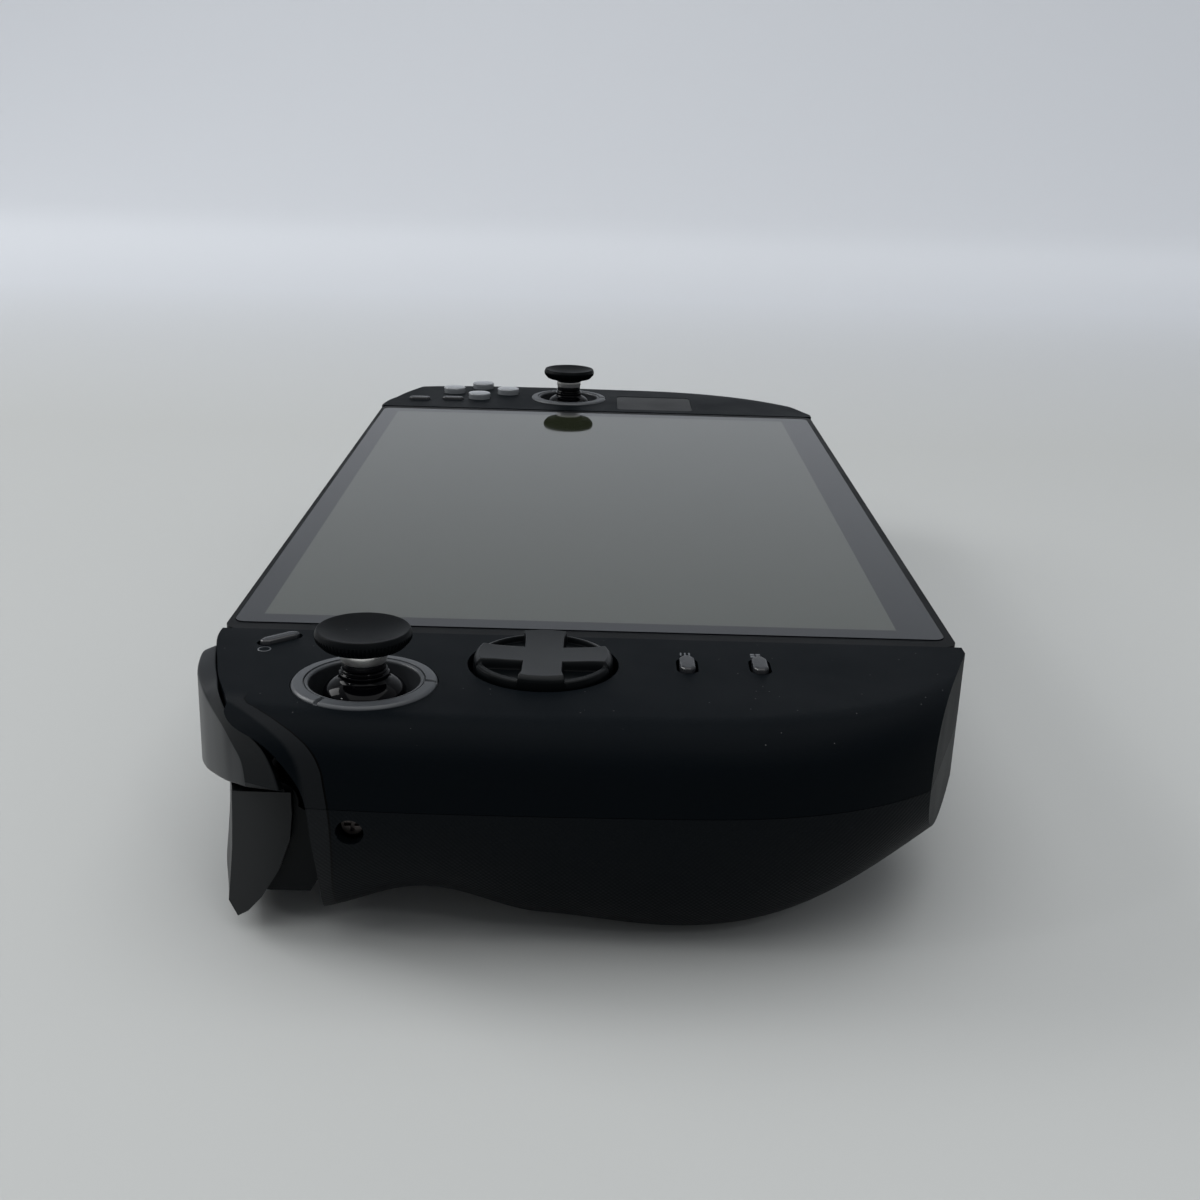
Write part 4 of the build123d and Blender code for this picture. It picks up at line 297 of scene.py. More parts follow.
def dust_group():
    """Fine dust that settles on faces that look up: the middles of a few small cells, kept where the
    normal points up."""
    speck_radius, rarity, least_up = 0.10, 0.93, 0.6
    tree, into, out = group(
        "settled dust",
        [("Vector", "NodeSocketVector", None), ("Speck Size", "NodeSocketFloat", 900.0),
         ("Amount", "NodeSocketFloat", 0.1)],
        [("Mask", "NodeSocketFloat")],
    )
    cells = tree.nodes.new("ShaderNodeTexVoronoi")
    cells.inputs["Randomness"].default_value = 1.0
    tree.links.new(into["Vector"], cells.inputs["Vector"])
    tree.links.new(into["Speck Size"], cells.inputs["Scale"])
    colour = tree.nodes.new("ShaderNodeSeparateColor")
    tree.links.new(cells.outputs["Color"], colour.inputs["Color"])
    facing = axes(tree, tree.nodes.new("ShaderNodeNewGeometry").outputs["Normal"])
    near = math_node(tree, "LESS_THAN", cells.outputs["Distance"], speck_radius)
    rare = math_node(tree, "GREATER_THAN", colour.outputs["Red"], rarity)
    high = math_node(tree, "GREATER_THAN", facing["Z"], least_up)
    kept = math_node(tree, "MULTIPLY", math_node(tree, "MULTIPLY", near, rare), high)
    tree.links.new(math_node(tree, "MULTIPLY", kept, into["Amount"]), out["Mask"])
    return tree


groups = {}
BLOTCH_RANGE = (0.3, 0.7)  # most of what the slow noise gives
COAT_ROUGHNESS = 0.1
TINT_SPREAD = 0.12
DUST_COLOUR = (0.5, 0.5, 0.5)


def material(name, colour, rough, metallic=0.0, coat=0.0, bump=0.03, spread=0.06, dust=0.0, specular=0.5):
    """A plastic or metal finish: its colour and roughness vary slowly over the surface, with a fine
    grain as a bump of so many millimetres and, if asked, dust where it faces up."""
    mat, tree, shader, place = empty_material(name)
    for label, number in (("Metallic", metallic), ("Coat Weight", coat), ("Coat Roughness", COAT_ROUGHNESS),
                          ("Specular IOR Level", specular)):
        shader[label].default_value = number
    fine = called(tree, "grain", place)
    bumped = tree.nodes.new("ShaderNodeBump")
    bumped.inputs["Strength"].default_value = 1.0
    bumped.inputs["Distance"].default_value = bump * MM
    tree.links.new(fine["Height"], bumped.inputs["Height"])
    tree.links.new(bumped.outputs["Normal"], shader["Normal"])
    uneven = ramp_node(tree, fine["Blotch"], *BLOTCH_RANGE, rough - spread, rough + spread, smooth=False)
    tree.links.new(uneven, shader["Roughness"])
    darker, paler = [[c * (1 + change) for c in colour] for change in (-TINT_SPREAD, TINT_SPREAD)]
    last = mixed(tree, fine["Blotch"], darker, paler)
    if dust > 0:
        last = mixed(tree, called(tree, "dust", place, Amount=dust)["Mask"], last, DUST_COLOUR)
    tree.links.new(last, shader["Base Color"])
    return mat


def curve(tree, points):
    """A node that maps 0..1 to 0..1 along a smooth curve through points."""
    node = tree.nodes.new("ShaderNodeFloatCurve")
    line = node.mapping.curves[0]
    line.points[0].location = points[0]
    line.points[1].location = points[-1]
    for point in points[1:-1]:
        line.points.new(*point)
    node.mapping.update()
    return node


# Where the rim beside the trigger begins: Y over the shell's half depth, by height over the face's height
RIM_CREASE = [
    (0.0, 0.600), (0.24, 0.591), (0.578, 0.579), (0.77, 0.590), (0.841, 0.599), (0.90, 0.622), (0.935, 0.651),
    (0.969, 0.698), (0.99, 0.747), (1.0, 0.801),
]
RIM_ENDS = (0.1315, 0.1375)  # it fades in over this stretch of |X|
RIM_FADES = (0.0030, 0.0042)  # and out again this far past the crease
# painted light: the rim's band is made this much paler than the shell
RIM_PAINTED_LIGHT = 0.008
# painted shade: the crease is a black line this wide on each side of it
CREASE_PAINTED_SHADE_HALF_WIDTH = 0.00016
DOT_PITCH, DOT_SHARE, DOT_HEIGHT = 0.0009, 0.8, 0.028 * MM
SMOOTH_SHINE, DOTTED_SHINE = 0.032, 0.07


def shell_material(name, colour, rim=True, dots=False):
    """The controllers' satin plastic. Beside the trigger a rim band is painted slightly paler, as painted
    light, and ends in a fine black line of painted shade along its crease: a point lies on the rim where its
    Y passes a curve of its height. The lower shell also has fine raised dots, where waves 0.9 mm long along Y
    and along the height meet."""
    shine = DOTTED_SHINE if dots else SMOOTH_SHINE
    mat = material(name, colour, 0.50, bump=0.012, dust=0.15, specular=shine)
    tree, shader, place = parts_of(mat)
    at = axes(tree, place)
    if rim:
        half_depth = -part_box("left_front_shell")[0][1]
        crease = curve(tree, RIM_CREASE)
        height = math_node(tree, "DIVIDE", at["Z"], face(), clamp=True)
        tree.links.new(height, crease.inputs["Value"])
        limit = math_node(tree, "MULTIPLY", crease.outputs["Value"], half_depth)
        past = math_node(tree, "SUBTRACT", at["Y"], limit)
        outside = ramp_node(tree, math_node(tree, "ABSOLUTE", at["X"]), *RIM_ENDS, 0.0, 1.0)
        near = ramp_node(tree, past, *RIM_FADES, 1.0, 0.0)
        band = math_node(tree, "MULTIPLY", math_node(tree, "GREATER_THAN", past, 0.0), near)
        line = math_node(tree, "COMPARE", past, 0.0)
        line.node.inputs[2].default_value = CREASE_PAINTED_SHADE_HALF_WIDTH
        # painted light on the rim's band, then a painted shadow line along its crease
        paler = mixed(tree, math_node(tree, "MULTIPLY", band, outside), source(shader["Base Color"]),
                      [c + RIM_PAINTED_LIGHT for c in colour])
        crease_painted_shade = mixed(tree, math_node(tree, "MULTIPLY", line, outside), paler, (0.0, 0.0, 0.0))
        tree.links.new(crease_painted_shade, shader["Base Color"])
    if dots:
        waves = [math_node(tree, "SINE", math_node(tree, "MULTIPLY", at[axis], 2 * math.pi / DOT_PITCH))
                 for axis in ("Y", "Z")]
        raised = math_node(tree, "MULTIPLY", math_node(tree, "MULTIPLY", *waves), DOT_SHARE)
        bumped = source(shader["Normal"]).node.inputs
        tree.links.new(math_node(tree, "ADD", raised, source(bumped["Height"])), bumped["Height"])
        bumped["Distance"].default_value = DOT_HEIGHT
    return mat


# Painted shade and light on the trigger: its inner step is painted darker, and its blade is painted paler
# towards +Y
TRIGGER_SHADED_STEP = (0.1352, 0.1364)  # the trigger's step lies under this |X| and its blade over it
TRIGGER_LIT_STRETCH = (0.046, 0.059)  # and the blade grows paler outwards over this stretch of Y
TRIGGER_BACK_LIGHT_SHARE = 0.45  # from this share of its full paleness


def painted_shade_and_light(mat, dark, specular, trigger=False):
    """Paints shade into a finish: darker and less shiny where its mesh's share is 1. On a trigger the share
    comes
    from the place instead: 1 on the inner step, as painted shade, and on the blade less the further out it is
    along Y, so that the blade is painted paler outwards as painted light."""
    tree, shader, place = parts_of(mat)
    if trigger:
        at = axes(tree, place)
        blade = ramp_node(tree, math_node(tree, "ABSOLUTE", at["X"]), *TRIGGER_SHADED_STEP, 0.0, 1.0)
        outer = ramp_node(tree, at["Y"], *TRIGGER_LIT_STRETCH, TRIGGER_BACK_LIGHT_SHARE, 1.0)
        share = math_node(tree, "SUBTRACT", 1.0, math_node(tree, "MULTIPLY", blade, outer))
    else:
        own = tree.nodes.new("ShaderNodeAttribute")
        own.attribute_name = "share"
        share = own.outputs["Fac"]
    colour, level = shader["Base Color"], shader["Specular IOR Level"]
    tree.links.new(mixed(tree, share, source(colour), dark), colour)
    tree.links.new(ramp_node(tree, share, 0.0, 1.0, level.default_value, specular), level)


DISPLAY_BOX = ((0.0, 0.09475), (0.0012, 0.0592))  # the display's middle and half size along X and along Y
SMUDGE_SIZE, SMUDGE_RANGE = 55.0, (0.35, 0.7)
SCREEN_ROUGHNESS = (0.022, 0.05)
BORDER_SHINE, DISPLAY_SHINE = 0.33, 0.86


def screen_material(name, border, display):
    """The screen: one dark glass whose display area is paler and a little warmer than its border, with faint
    smudges in its gloss. A point is on the display where |x - cx| < hx and |y - cy| < hy."""
    mat, tree, shader, place = empty_material(name)
    smudge = called(tree, "grain", place, Blotch_Size=SMUDGE_SIZE)["Blotch"]
    tree.links.new(ramp_node(tree, smudge, *SMUDGE_RANGE, *SCREEN_ROUGHNESS), shader["Roughness"])
    at = axes(tree, place)
    within = []
    for axis, (centre, half) in zip("XY", DISPLAY_BOX):
        away = math_node(tree, "ABSOLUTE", math_node(tree, "SUBTRACT", at[axis], centre))
        within.append(math_node(tree, "LESS_THAN", away, half))
    inside = math_node(tree, "MULTIPLY", *within)
    tree.links.new(mixed(tree, inside, border, display), shader["Base Color"])
    shine = ramp_node(tree, inside, 0.0, 1.0, BORDER_SHINE, DISPLAY_SHINE)
    tree.links.new(shine, shader["Specular IOR Level"])
    return mat


def finish(obj, mat, body, stands_for=()):
    """Gives a piece its finish and its body, and hides the CAD nodes it stands for."""
    obj.data.materials.clear()
    obj.data.materials.append(mat)
    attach(obj, body)
    if stands_for:
        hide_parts(*stands_for)


finishes = {}


# Settings
class ConsoleFinishes(bpy.types.PropertyGroup):
    shell: bpy.props.FloatVectorProperty(
        name="Shell", description="Colour of the controllers' shells", subtype="COLOR",
        default=(0.0017, 0.0029, 0.0041))
    tablet: bpy.props.FloatVectorProperty(
        name="Tablet", description="Colour of the tablet's frame", subtype="COLOR",
        default=(0.0018, 0.0023, 0.0028))
    bumper: bpy.props.FloatVectorProperty(
        name="Bumper", description="Colour of the bumpers and triggers", subtype="COLOR",
        default=(0.006, 0.0065, 0.007))
    ring: bpy.props.FloatVectorProperty(
        name="Stick ring", description="Colour of the rings round the sticks", subtype="COLOR",
        default=(0.040, 0.044, 0.049))


class ConsoleControls(bpy.types.PropertyGroup):
    cap_radius: bpy.props.FloatProperty(
        name="Stick cap", description="Widest radius of a stick's cap", default=0.0081, subtype="DISTANCE",
        unit="LENGTH")
    knurl_depth: bpy.props.FloatProperty(
        name="Knurl depth", description="Depth of the grip round a stick's cap", default=0.0003,
        subtype="DISTANCE", unit="LENGTH")
    knurl_count: bpy.props.IntProperty(
        name="Knurl count", description="Number of grooves round a stick's cap", default=76, min=12)
    ring_groove: bpy.props.FloatProperty(
        name="Ring groove", description="Radius of the thin groove in a stick's ring", default=0.0099,
        subtype="DISTANCE", unit="LENGTH")
    arm_width: bpy.props.FloatProperty(
        name="Pad arm", description="Width of an arm of the direction pad", default=0.0071,
        subtype="DISTANCE", unit="LENGTH")
    pill_width: bpy.props.FloatProperty(
        name="Long button", description="Width of a long button's cap", default=0.0027,
        subtype="DISTANCE", unit="LENGTH")


class ConsoleStage(bpy.types.PropertyGroup):
    floor: bpy.props.FloatVectorProperty(
        name="Floor", description="Colour of the floor", subtype="COLOR", default=(0.455, 0.465, 0.458))
    backdrop: bpy.props.FloatVectorProperty(
        name="Backdrop", description="Colour behind the console", subtype="COLOR",
        default=(0.55, 0.57, 0.60))
    lamp: bpy.props.FloatProperty(
        name="Window lamp", description="Strength of the window's lamp in watts", default=15.0, min=0.0)
    ceiling: bpy.props.FloatProperty(
        name="Ceiling lamp", description="Strength of the lamp overhead in watts", default=26.0, min=0.0)
    spot: bpy.props.FloatProperty(
        name="Spot", description="Strength of the small lamps in watts", default=1.2, min=0.0)
    glow: bpy.props.FloatProperty(
        name="Backdrop glow", description="Brightness added to the far backdrop", default=0.30, min=0.0)
    room: bpy.props.FloatProperty(
        name="Near room", description="Brightness of the room behind the camera", default=0.34, min=0.0)
    far_room: bpy.props.FloatProperty(
        name="Far room", description="Brightness of the room behind the console", default=0.75, min=0.0)


# Pieces
PLAIN_FINISHES = {
    "ring": ("ring plastic", None, 0.40, {"bump": 0.006, "specular": 0.45}),
    "inner": ("inner plastic", (0.006, 0.006, 0.007), 0.6, {}),
    "pad": ("pad plastic", (0.009, 0.0095, 0.010), 0.42, {"bump": 0.008, "dust": 0.2, "specular": 0.08}),
    "pill": ("small button plastic", (0.010, 0.011, 0.013), 0.25, {"bump": 0.004, "specular": 0.4}),
    "clear": ("smoky button plastic", (0.15, 0.16, 0.17), 0.16, {"coat": 0.6, "bump": 0.004}),
    "gloss": ("stick gloss", (0.001, 0.001, 0.0015), 0.07, {"bump": 0.001, "spread": 0.01, "specular": 0.08}),
    "band": ("stick band", (0.90, 0.88, 0.85), 0.32, {"metallic": 1.0, "bump": 0.002, "spread": 0.03}),
    "cap": ("stick rubber", (0.0016, 0.0022, 0.0028), 0.42, {"bump": 0.010, "dust": 0.15, "specular": 0.06}),
    "mark": ("printed mark", (0.055, 0.06, 0.068), 0.4, {"bump": 0.001}),
    "collar": ("stick collar", (0.003, 0.003, 0.004), 0.2, {"bump": 0.002, "specular": 0.12}),
    "dpad": ("direction pad plastic", (0.0045, 0.0055, 0.0062), 0.34, {"bump": 0.006, "specular": 0.15}),
    "board": ("board", (0.01, 0.05, 0.03), 0.4, {}),
    "cell": ("cell wrap", (0.03, 0.03, 0.035), 0.35, {}),
    "metal": ("bare metal", (0.55, 0.50, 0.45), 0.3, {"metallic": 1.0}),
    "steel": ("stamped steel", (0.5, 0.5, 0.5), 0.3, {"metallic": 1.0}),
    "screw": ("dark screw", (0.07, 0.062, 0.06), 0.3, {"metallic": 1.0}),
}


class CONSOLE_OT_finishes(bpy.types.Operator):
    """Make the shared effects and every finish"""

    bl_idname = "console.finishes"
    bl_label = "Finishes"

    def execute(self, context):
        look = context.scene.console_finishes
        groups["grain"] = fine_grain_group()
        groups["dust"] = dust_group()
        finishes["shell"] = shell_material("satin shell", look.shell, rim=False)
        finishes["front shell"] = shell_material("front shell", look.shell)
        finishes["rear shell"] = shell_material("dotted shell", look.shell, dots=True)
        finishes["tablet"] = material("tablet frame", look.tablet, 0.44, bump=0.010, specular=0.05)
        for kind, paler in (("bumper", 4.0), ("trigger", 2.6)):
            colour = [c * paler for c in look.bumper]
            finishes[kind] = material(f"{kind} plastic", colour, 0.42, bump=0.006, specular=0.30)
        # painted shade: the bumpers' end bands are made darker and less shiny
        painted_shade_and_light(finishes["bumper"], (0.0045, 0.0058, 0.0070), 0.11)
        # painted shade on the trigger's step and painted light that grows outwards on its blade
        painted_shade_and_light(finishes["trigger"], (0.004, 0.0052, 0.006), 0.10, trigger=True)
        for kind, (name, colour, rough, options) in PLAIN_FINISHES.items():
            finishes[kind] = material(name, look.ring if kind == "ring" else colour, rough, **options)
        # painted shade on the pad's sunk sectors, its falling outer edge and its underside
        painted_shade_and_light(finishes["dpad"], (0.0012, 0.0018, 0.0022), 0.05)
        finishes["screen"] = screen_material(
            "screen glass", (0.0016, 0.0024, 0.0046), (0.018, 0.0210, 0.0120))
        return {"FINISHED"}


SLOT_FINISH = {
    "frame_plastic": "tablet", "screen_glass": "screen", "screen_panel": "inner", "board": "board",
    "cell": "cell", "inner_plastic": "inner", "inner_metal": "metal", "steel": "steel",
    "dark_steel": "screw", "shell_plastic": "shell", "ring_plastic": "ring", "stick_gloss": "gloss",
    "stick_rubber": "cap", "bumper_plastic": "bumper", "button_plastic": "pill", "button_clear": "clear",
    "pad_plastic": "pad",
}


class CONSOLE_OT_carried(bpy.types.Operator):
    """Give every CAD node its finish and smooth shading"""

    bl_idname = "console.carried"
    bl_label = "CAD nodes"

    def execute(self, context):
        for part in frame["record"]["subparts"]:
            obj = carried(part["node"])
            obj.data.materials.clear()
            kind = SLOT_FINISH[part["material_slot"]]
            if part["node"].endswith(("front_shell", "rear_shell")):
                kind = " ".join(part["node"].split("_")[1:])
            elif part["node"].endswith("trigger"):
                kind = "trigger"
            obj.data.materials.append(finishes[kind])
        return {"FINISHED"}


# Profiles are in millimetres: radius and height over the controller's face. The numbers after each are the
# rounds of its corners.
DISH_LOW, DISH_RISE, DISH_POWER, DISH_MARGIN = 8.35, 1.2, 2.2, 0.85
KNURL_LOW, KNURL_HEIGHT, KNURL_POWER, KNURL_INNER = 6.7, 2.0, 0.6, 6.0
BAND = ([(0, 5.6), (3.95, 5.6), (3.95, 5.2), (3.72, 3.95), (3.4, 3.8), (0, 3.8)],
        [0, 0.08, 0.3, 0.1, 0.05, 0])
COLLAR = ([(0, 3.85), (3.66, 3.85), (3.66, 2.95), (3.5, 2.75), (0, 2.75)], [0, 0.1, 0.1, 0.05, 0])
DOME_REACH, DOME_LOW, DOME_RISE, NECK_RADIUS = 6.95, -1.8, 3.4, 4.45


class CONSOLE_OT_sticks(bpy.types.Operator):
    """Make both sticks: concave knurled caps, silver bands, collars and glossy domes"""

    bl_idname = "console.sticks"
    bl_label = "Sticks"

    def execute(self, context):
        controls = context.scene.console_controls
        wide, depth, count = controls.cap_radius / MM, controls.knurl_depth / MM, controls.knurl_count
        for side in SIDES:
            body = f"{side}_stick"
            x, y, _ = middle(f"{side}_stick_cap")
            centre = (x, y, face())
            dish_radius = wide - DISH_MARGIN
            r = np.linspace(0, 1, 26)
            dish = np.stack([r * dish_radius, DISH_LOW + DISH_RISE * r**DISH_POWER], -1)
            edge = rounded_line(
                [(dish_radius, DISH_LOW + DISH_RISE), (wide - 0.45, 9.66), (wide, 8.75), (wide - 0.12, 7.9),
                 (wide - 1.15, 6.75), (wide - 1.9, 6.5), (4.6, 6.15), (4.1, 5.9), (3.3, 5.85), (3.3, 5.5),
                 (0.0, 5.5)],
                [0, 0.25, 0.5, 0.3, 0.2, 0.3, 0.2, 0.15, 0.1, 0.1, 0], 7)

            def knurl(a, r, h):
                """Grooves round the cap's slanted side: a wave of the angle, strongest at mid height."""
                place = np.clip((h / MM - KNURL_LOW) / KNURL_HEIGHT, 0, 1)
                strength = np.sin(np.pi * place) ** KNURL_POWER * (r / MM > KNURL_INNER)
                return -depth * MM * strength * (0.5 + 0.5 * np.sin(count * a))

            cap = turned(f"{side}_cap", np.concatenate([dish, edge[1:]]) * MM, centre, 672, knurl)
            finish(cap, finishes["cap"], body, [f"{side}_stick_cap"])
            for name, profile, kind, slot in (("silver_band", BAND, "band", "steel"),
                                              ("collar", COLLAR, "collar", "inner_plastic")):
                ring = turned(f"{side}_{name}", rounded_line(*profile, 6) * MM, centre, 128)
                finish(ring, finishes[kind], body)
            a = np.linspace(0, np.pi / 2, 30)
            inner = NECK_RADIUS / DOME_REACH
            share = inner + (1 - inner) * np.sin(a)
            rise = DOME_RISE * np.sqrt(np.clip(1 - share**2, 0, 1))
            dome = np.stack([DOME_REACH * share, DOME_LOW + rise], -1)
            neck = rounded_line(
                [(0, 2.8), (3.75, 2.8), (3.95, 2.45), (3.8, 2.25), (4.2, 2.0), (4.2, 1.5), (4.1, 1.3),
                 tuple(dome[0])], [0, 0.15, 0.1, 0.1, 0.15, 0.2, 0.1, 0], 6)
            under = rounded_line(
                [tuple(dome[-1]), (6.5, -2.8), (5.0, -4.0), (1.7, -5.0), (1.7, -11.6), (0, -11.6)],
                [0, 0.8, 0.8, 0.3, 0.2, 0], 6)
            post = turned(f"{side}_dome", np.concatenate([neck, dome[1:], under[1:]]) * MM, centre, 160)
            finish(post, finishes["gloss"], body, [f"{side}_stick_post"])
        return {"FINISHED"}


NOTCH_TURNS = (-90.0, 148.0)  # degrees round the left ring, mirrored on the right one
NOTCH_HALF, NOTCH_SLOPE, NOTCH_FLOOR, NOTCH_DEPTH = 0.42, 0.14, -0.1, 0.9


class CONSOLE_OT_stick_rings(bpy.types.Operator):
    """Make the satin rings round the sticks, with their thin groove, two notches and dark well"""

    bl_idname = "console.stick_rings"
    bl_label = "Stick rings"

    def execute(self, context):
        groove = context.scene.console_controls.ring_groove / MM
        for side in SIDES:
            x, y, _ = middle(f"{side}_stick_cap")
            low = (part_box(f"{side}_stick_ring")[0][2] - face()) / MM
            outer = rounded_line(
                [(10.5, -1.2), (12.05, -1.2), (12.1, 0.05), (11.7, 0.5), (groove + 0.2, 0.62),
                 (groove + 0.12, 0.2), (groove - 0.02, 0.2), (groove - 0.08, 0.55), (9.35, 0.4), (9.2, 0.1),
                 (9.25, -1.4), (9.25, low + 0.05), (10.2, low + 0.05), (10.2, -1.2), (10.5, -1.2)],
                [0, 0.05, 0.2, 0.3, 0.05, 0.02, 0.02, 0.05, 0.15, 0.2, 0.1, 0.1, 0.1, 0.1, 0], 6)
            turns = 720
            a = np.linspace(0, 2 * np.pi, turns, endpoint=False)
            r = np.repeat(outer[:, 0][:, None], turns, 1)
            h = np.repeat(outer[:, 1][:, None], turns, 1)
            for turn in NOTCH_TURNS:
                place = math.radians(turn if side == "left" else 180.0 - turn)
                away = np.abs((a - place + np.pi) % (2 * np.pi) - np.pi) * r
                sunk = np.clip((NOTCH_HALF - away) / NOTCH_SLOPE, 0, 1) * (r > groove + 0.1)
                cut = h - sunk * np.clip(h - NOTCH_FLOOR, 0, 1) * NOTCH_DEPTH
                h = np.where(h > NOTCH_FLOOR, cut, h)
            points = np.stack([x + r * MM * np.cos(a), y + r * MM * np.sin(a), face() + h * MM], -1)
            ring = surface(f"{side}_ring", points[:-1], close_u=True, close_v=True)
            finish(sharp(ring, 40), finishes["ring"], f"{side}_controller",
                   [f"{side}_stick_ring"])
        return {"FINISHED"}


# The direction pad, in millimetres
PAD_REACH, PAD_RIM_INNER, PAD_RIM_HEIGHT, PAD_EDGE = 12.0, 10.75, 1.25, 0.9
PAD_FLOOR, PAD_FLOOR_RISE = 0.15, 0.1
ARM_DIP, ARM_RISE = 0.62, 0.55  # how far the arms' middle lies under the top, and how far they rise outwards
ARM_FLARE, ARM_FLARE_START, ARM_SLOPE = 0.55, 8.0, 0.42
RIM_SLOPE = 0.4


class CONSOLE_OT_direction_pad(bpy.types.Operator):
    """Make the direction pad: a disc with a raised rim, four sunk sectors and a dished cross"""

    bl_idname = "console.direction_pad"
    bl_label = "Direction pad"

    def execute(self, context):
        half = context.scene.console_controls.arm_width / MM / 2
        x, y, _ = middle("dpad")
        low, top = ((corner[2] - face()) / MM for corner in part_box("dpad"))
        reach, turns = PAD_REACH, 720
        a = np.linspace(0, 2 * np.pi, turns, endpoint=False)
        r = np.concatenate([np.linspace(0, 10.2, 70), np.linspace(10.25, reach, 40)])
        rr, aa = np.meshgrid(r, a, indexing="ij")
        px, py = rr * np.cos(aa), rr * np.sin(aa)

        def step(value):
            """0 below 0, 1 above 1, smooth between."""
            value = np.clip(value, 0, 1)
            return value * value * (3 - 2 * value)

        def round_rows(profile):
            """Rows of points turned about the pad's middle, one for each radius and height of a profile."""
            profile = np.asarray(profile, float)
            heights = np.repeat(profile[:, 1:], turns, 1)
            return np.stack([profile[:, :1] * np.cos(a), profile[:, :1] * np.sin(a), heights], -1)

        near_axis = np.minimum(np.abs(px), np.abs(py))
        along_arm = np.maximum(np.abs(px), np.abs(py))
        flare = ARM_FLARE * step((along_arm - ARM_FLARE_START) / (reach - ARM_FLARE_START))
        arm = step((half + flare + 0.18 - near_axis) / ARM_SLOPE)
        rim = step((rr - PAD_RIM_INNER) / RIM_SLOPE)
        floor = PAD_FLOOR + PAD_FLOOR_RISE * (rr / reach) ** 2
        arm_height = top - ARM_DIP + ARM_RISE * (rr / reach) ** 2
        height = np.maximum(floor + (PAD_RIM_HEIGHT - floor) * rim, floor + (arm_height - floor) * arm)
        fall = np.clip((rr - (reach - PAD_EDGE)) / PAD_EDGE, 0, 1)
        height = height - (0.35 + 0.85 * arm) * fall**1.6
        skirt = round_rows(
            [(reach + 0.12, -0.2), (reach + 0.15, -0.6), (reach + 0.1, -1.1), (reach - 0.2, -1.5)])
        under = round_rows(rounded_line([(reach - 0.6, -1.6), (3.0, -1.7), (2.1, -2.0), (2.1, low), (0, low)],
                                        [0, 0.3, 0.3, 0.2, 0], 5))
        rows = np.concatenate([np.stack([px, py, height], -1), skirt, under])
        points = rows * MM + np.array([x, y, face()])
        # painted shade: the sunk sectors, the falling outer edge and, below, the skirt and underside get
        # share 1 and are painted darker
        sunk = np.maximum(1 - np.maximum(rim, arm), step((fall - 0.55) / 0.3))
        rest = np.ones((len(skirt) + len(under), turns))
        pad = surface("direction_pad", points, close_v=True, share=np.concatenate([sunk, rest]))
        finish(pad, finishes["dpad"], "dpad", ["dpad"])
        return {"FINISHED"}


def long_outline(length, width, chamfer):
    """Outline of a bar with cut-off corners, drawn in by an inset, with small rounds."""

    def outline(inset):
        x, y = length / 2 - inset, width / 2 - inset
        cut = chamfer - inset * 0.4
        corners = [(x, 0), (x, y - cut), (x - cut * 1.5, y), (-x + cut * 1.5, y), (-x, y - cut),
                   (-x, -y + cut), (-x + cut * 1.5, -y), (x - cut * 1.5, -y), (x, -y + cut), (x, 0)]
        return rounded_line(corners, [0] + [0.25 * MM] * 8 + [0], 5)[:-1]

    return outline


# Turn in degrees, length in millimetres and share of the set width
LONG_BUTTONS = {
    "view_button": (0.0, 6.6, 1.0), "menu_button": (0.0, 6.6, 1.0), "left_home_button": (-48.0, 7.6, 0.9),
    "capture_button": (90.0, 6.6, 1.0), "right_home_button": (90.0, 6.6, 1.0),
}
# Inset in millimetres and height as a share of how far the cap stands proud
LONG_BUTTON_RINGS = [(0.0, 0.5), (0.08, 0.72), (0.30, 0.90), (0.50, 0.95), (0.9, 0.97)]
LONG_BUTTON_PROUD, LONG_BUTTON_CHAMFER = 0.7, 0.75 * MM
ROUND_BUTTONS = ("button_top", "button_bottom", "button_near", "button_far")


class CONSOLE_OT_buttons(bpy.types.Operator):
    """Make the long buttons and the four round ones"""

    bl_idname = "console.buttons"
    bl_label = "Buttons"

    def execute(self, context):
        width = context.scene.console_controls.pill_width
        for node, (turn, length, share) in LONG_BUTTONS.items():
            low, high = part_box(node)
            x, y, _ = middle(node)
            proud = LONG_BUTTON_PROUD * (high[2] - face())
            rings = [(0.0, low[2] - face() + 0.1 * MM)]
            rings += [(inset * MM, height * proud) for inset, height in LONG_BUTTON_RINGS]
            outline = long_outline(length * MM, width * share, LONG_BUTTON_CHAMFER)
            cap = pressed(node.replace("_button", "_cap"), outline, rings, (x, y, face()), math.radians(turn))
            finish(sharp(cap, 50), finishes["pill"], node, [node])
        for node in ROUND_BUTTONS:
            x, y, _ = middle(node)
            proud = (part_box(node)[1][2] - face()) / MM
            flat_radius, dome_fall = 2.9, 0.15
            dome = [(r, proud - dome_fall * (r / flat_radius) ** 2) for r in np.linspace(0, flat_radius, 12)]
            side = rounded_line(
                [dome[-1], (3.5, proud - 0.22), (3.55, proud - 0.9), (3.55, -2.5), (4.3, -2.6), (4.3, -3.5),
                 (0, -3.5)], [0, 0.4, 0.3, 0.1, 0.1, 0.1, 0], 7)
            profile = np.concatenate([dome, side[1:]]) * MM
            cap = turned(node.replace("button", "round"), profile, (x, y, face()))
            finish(cap, finishes["clear"], node, [node])
        return {"FINISHED"}


def smooth_line(points, count):
    """Even points on a curve through all the given ones: between P1 and P2 it is
    P1 + t(P2-P0)/2 + t^2(P0 - 2.5 P1 + 2 P2 - 0.5 P3) + t^3(-P0 + 3 P1 - 3 P2 + P3)/2."""
    points = np.asarray(points, float)
    points = np.concatenate([2 * points[:1] - points[1:2], points, 2 * points[-1:] - points[-2:-1]])
    place = np.linspace(0, len(points) - 3 - 1e-9, count)
    k = place.astype(int)
    t = (place - k)[:, None]
    a, b, c, d = points[k], points[k + 1], points[k + 2], points[k + 3]
    return b + t * (c - a) / 2 + t**2 * (a - 2.5 * b + 2 * c - 0.5 * d) + t**3 * (3 * b - 3 * c + d - a) / 2


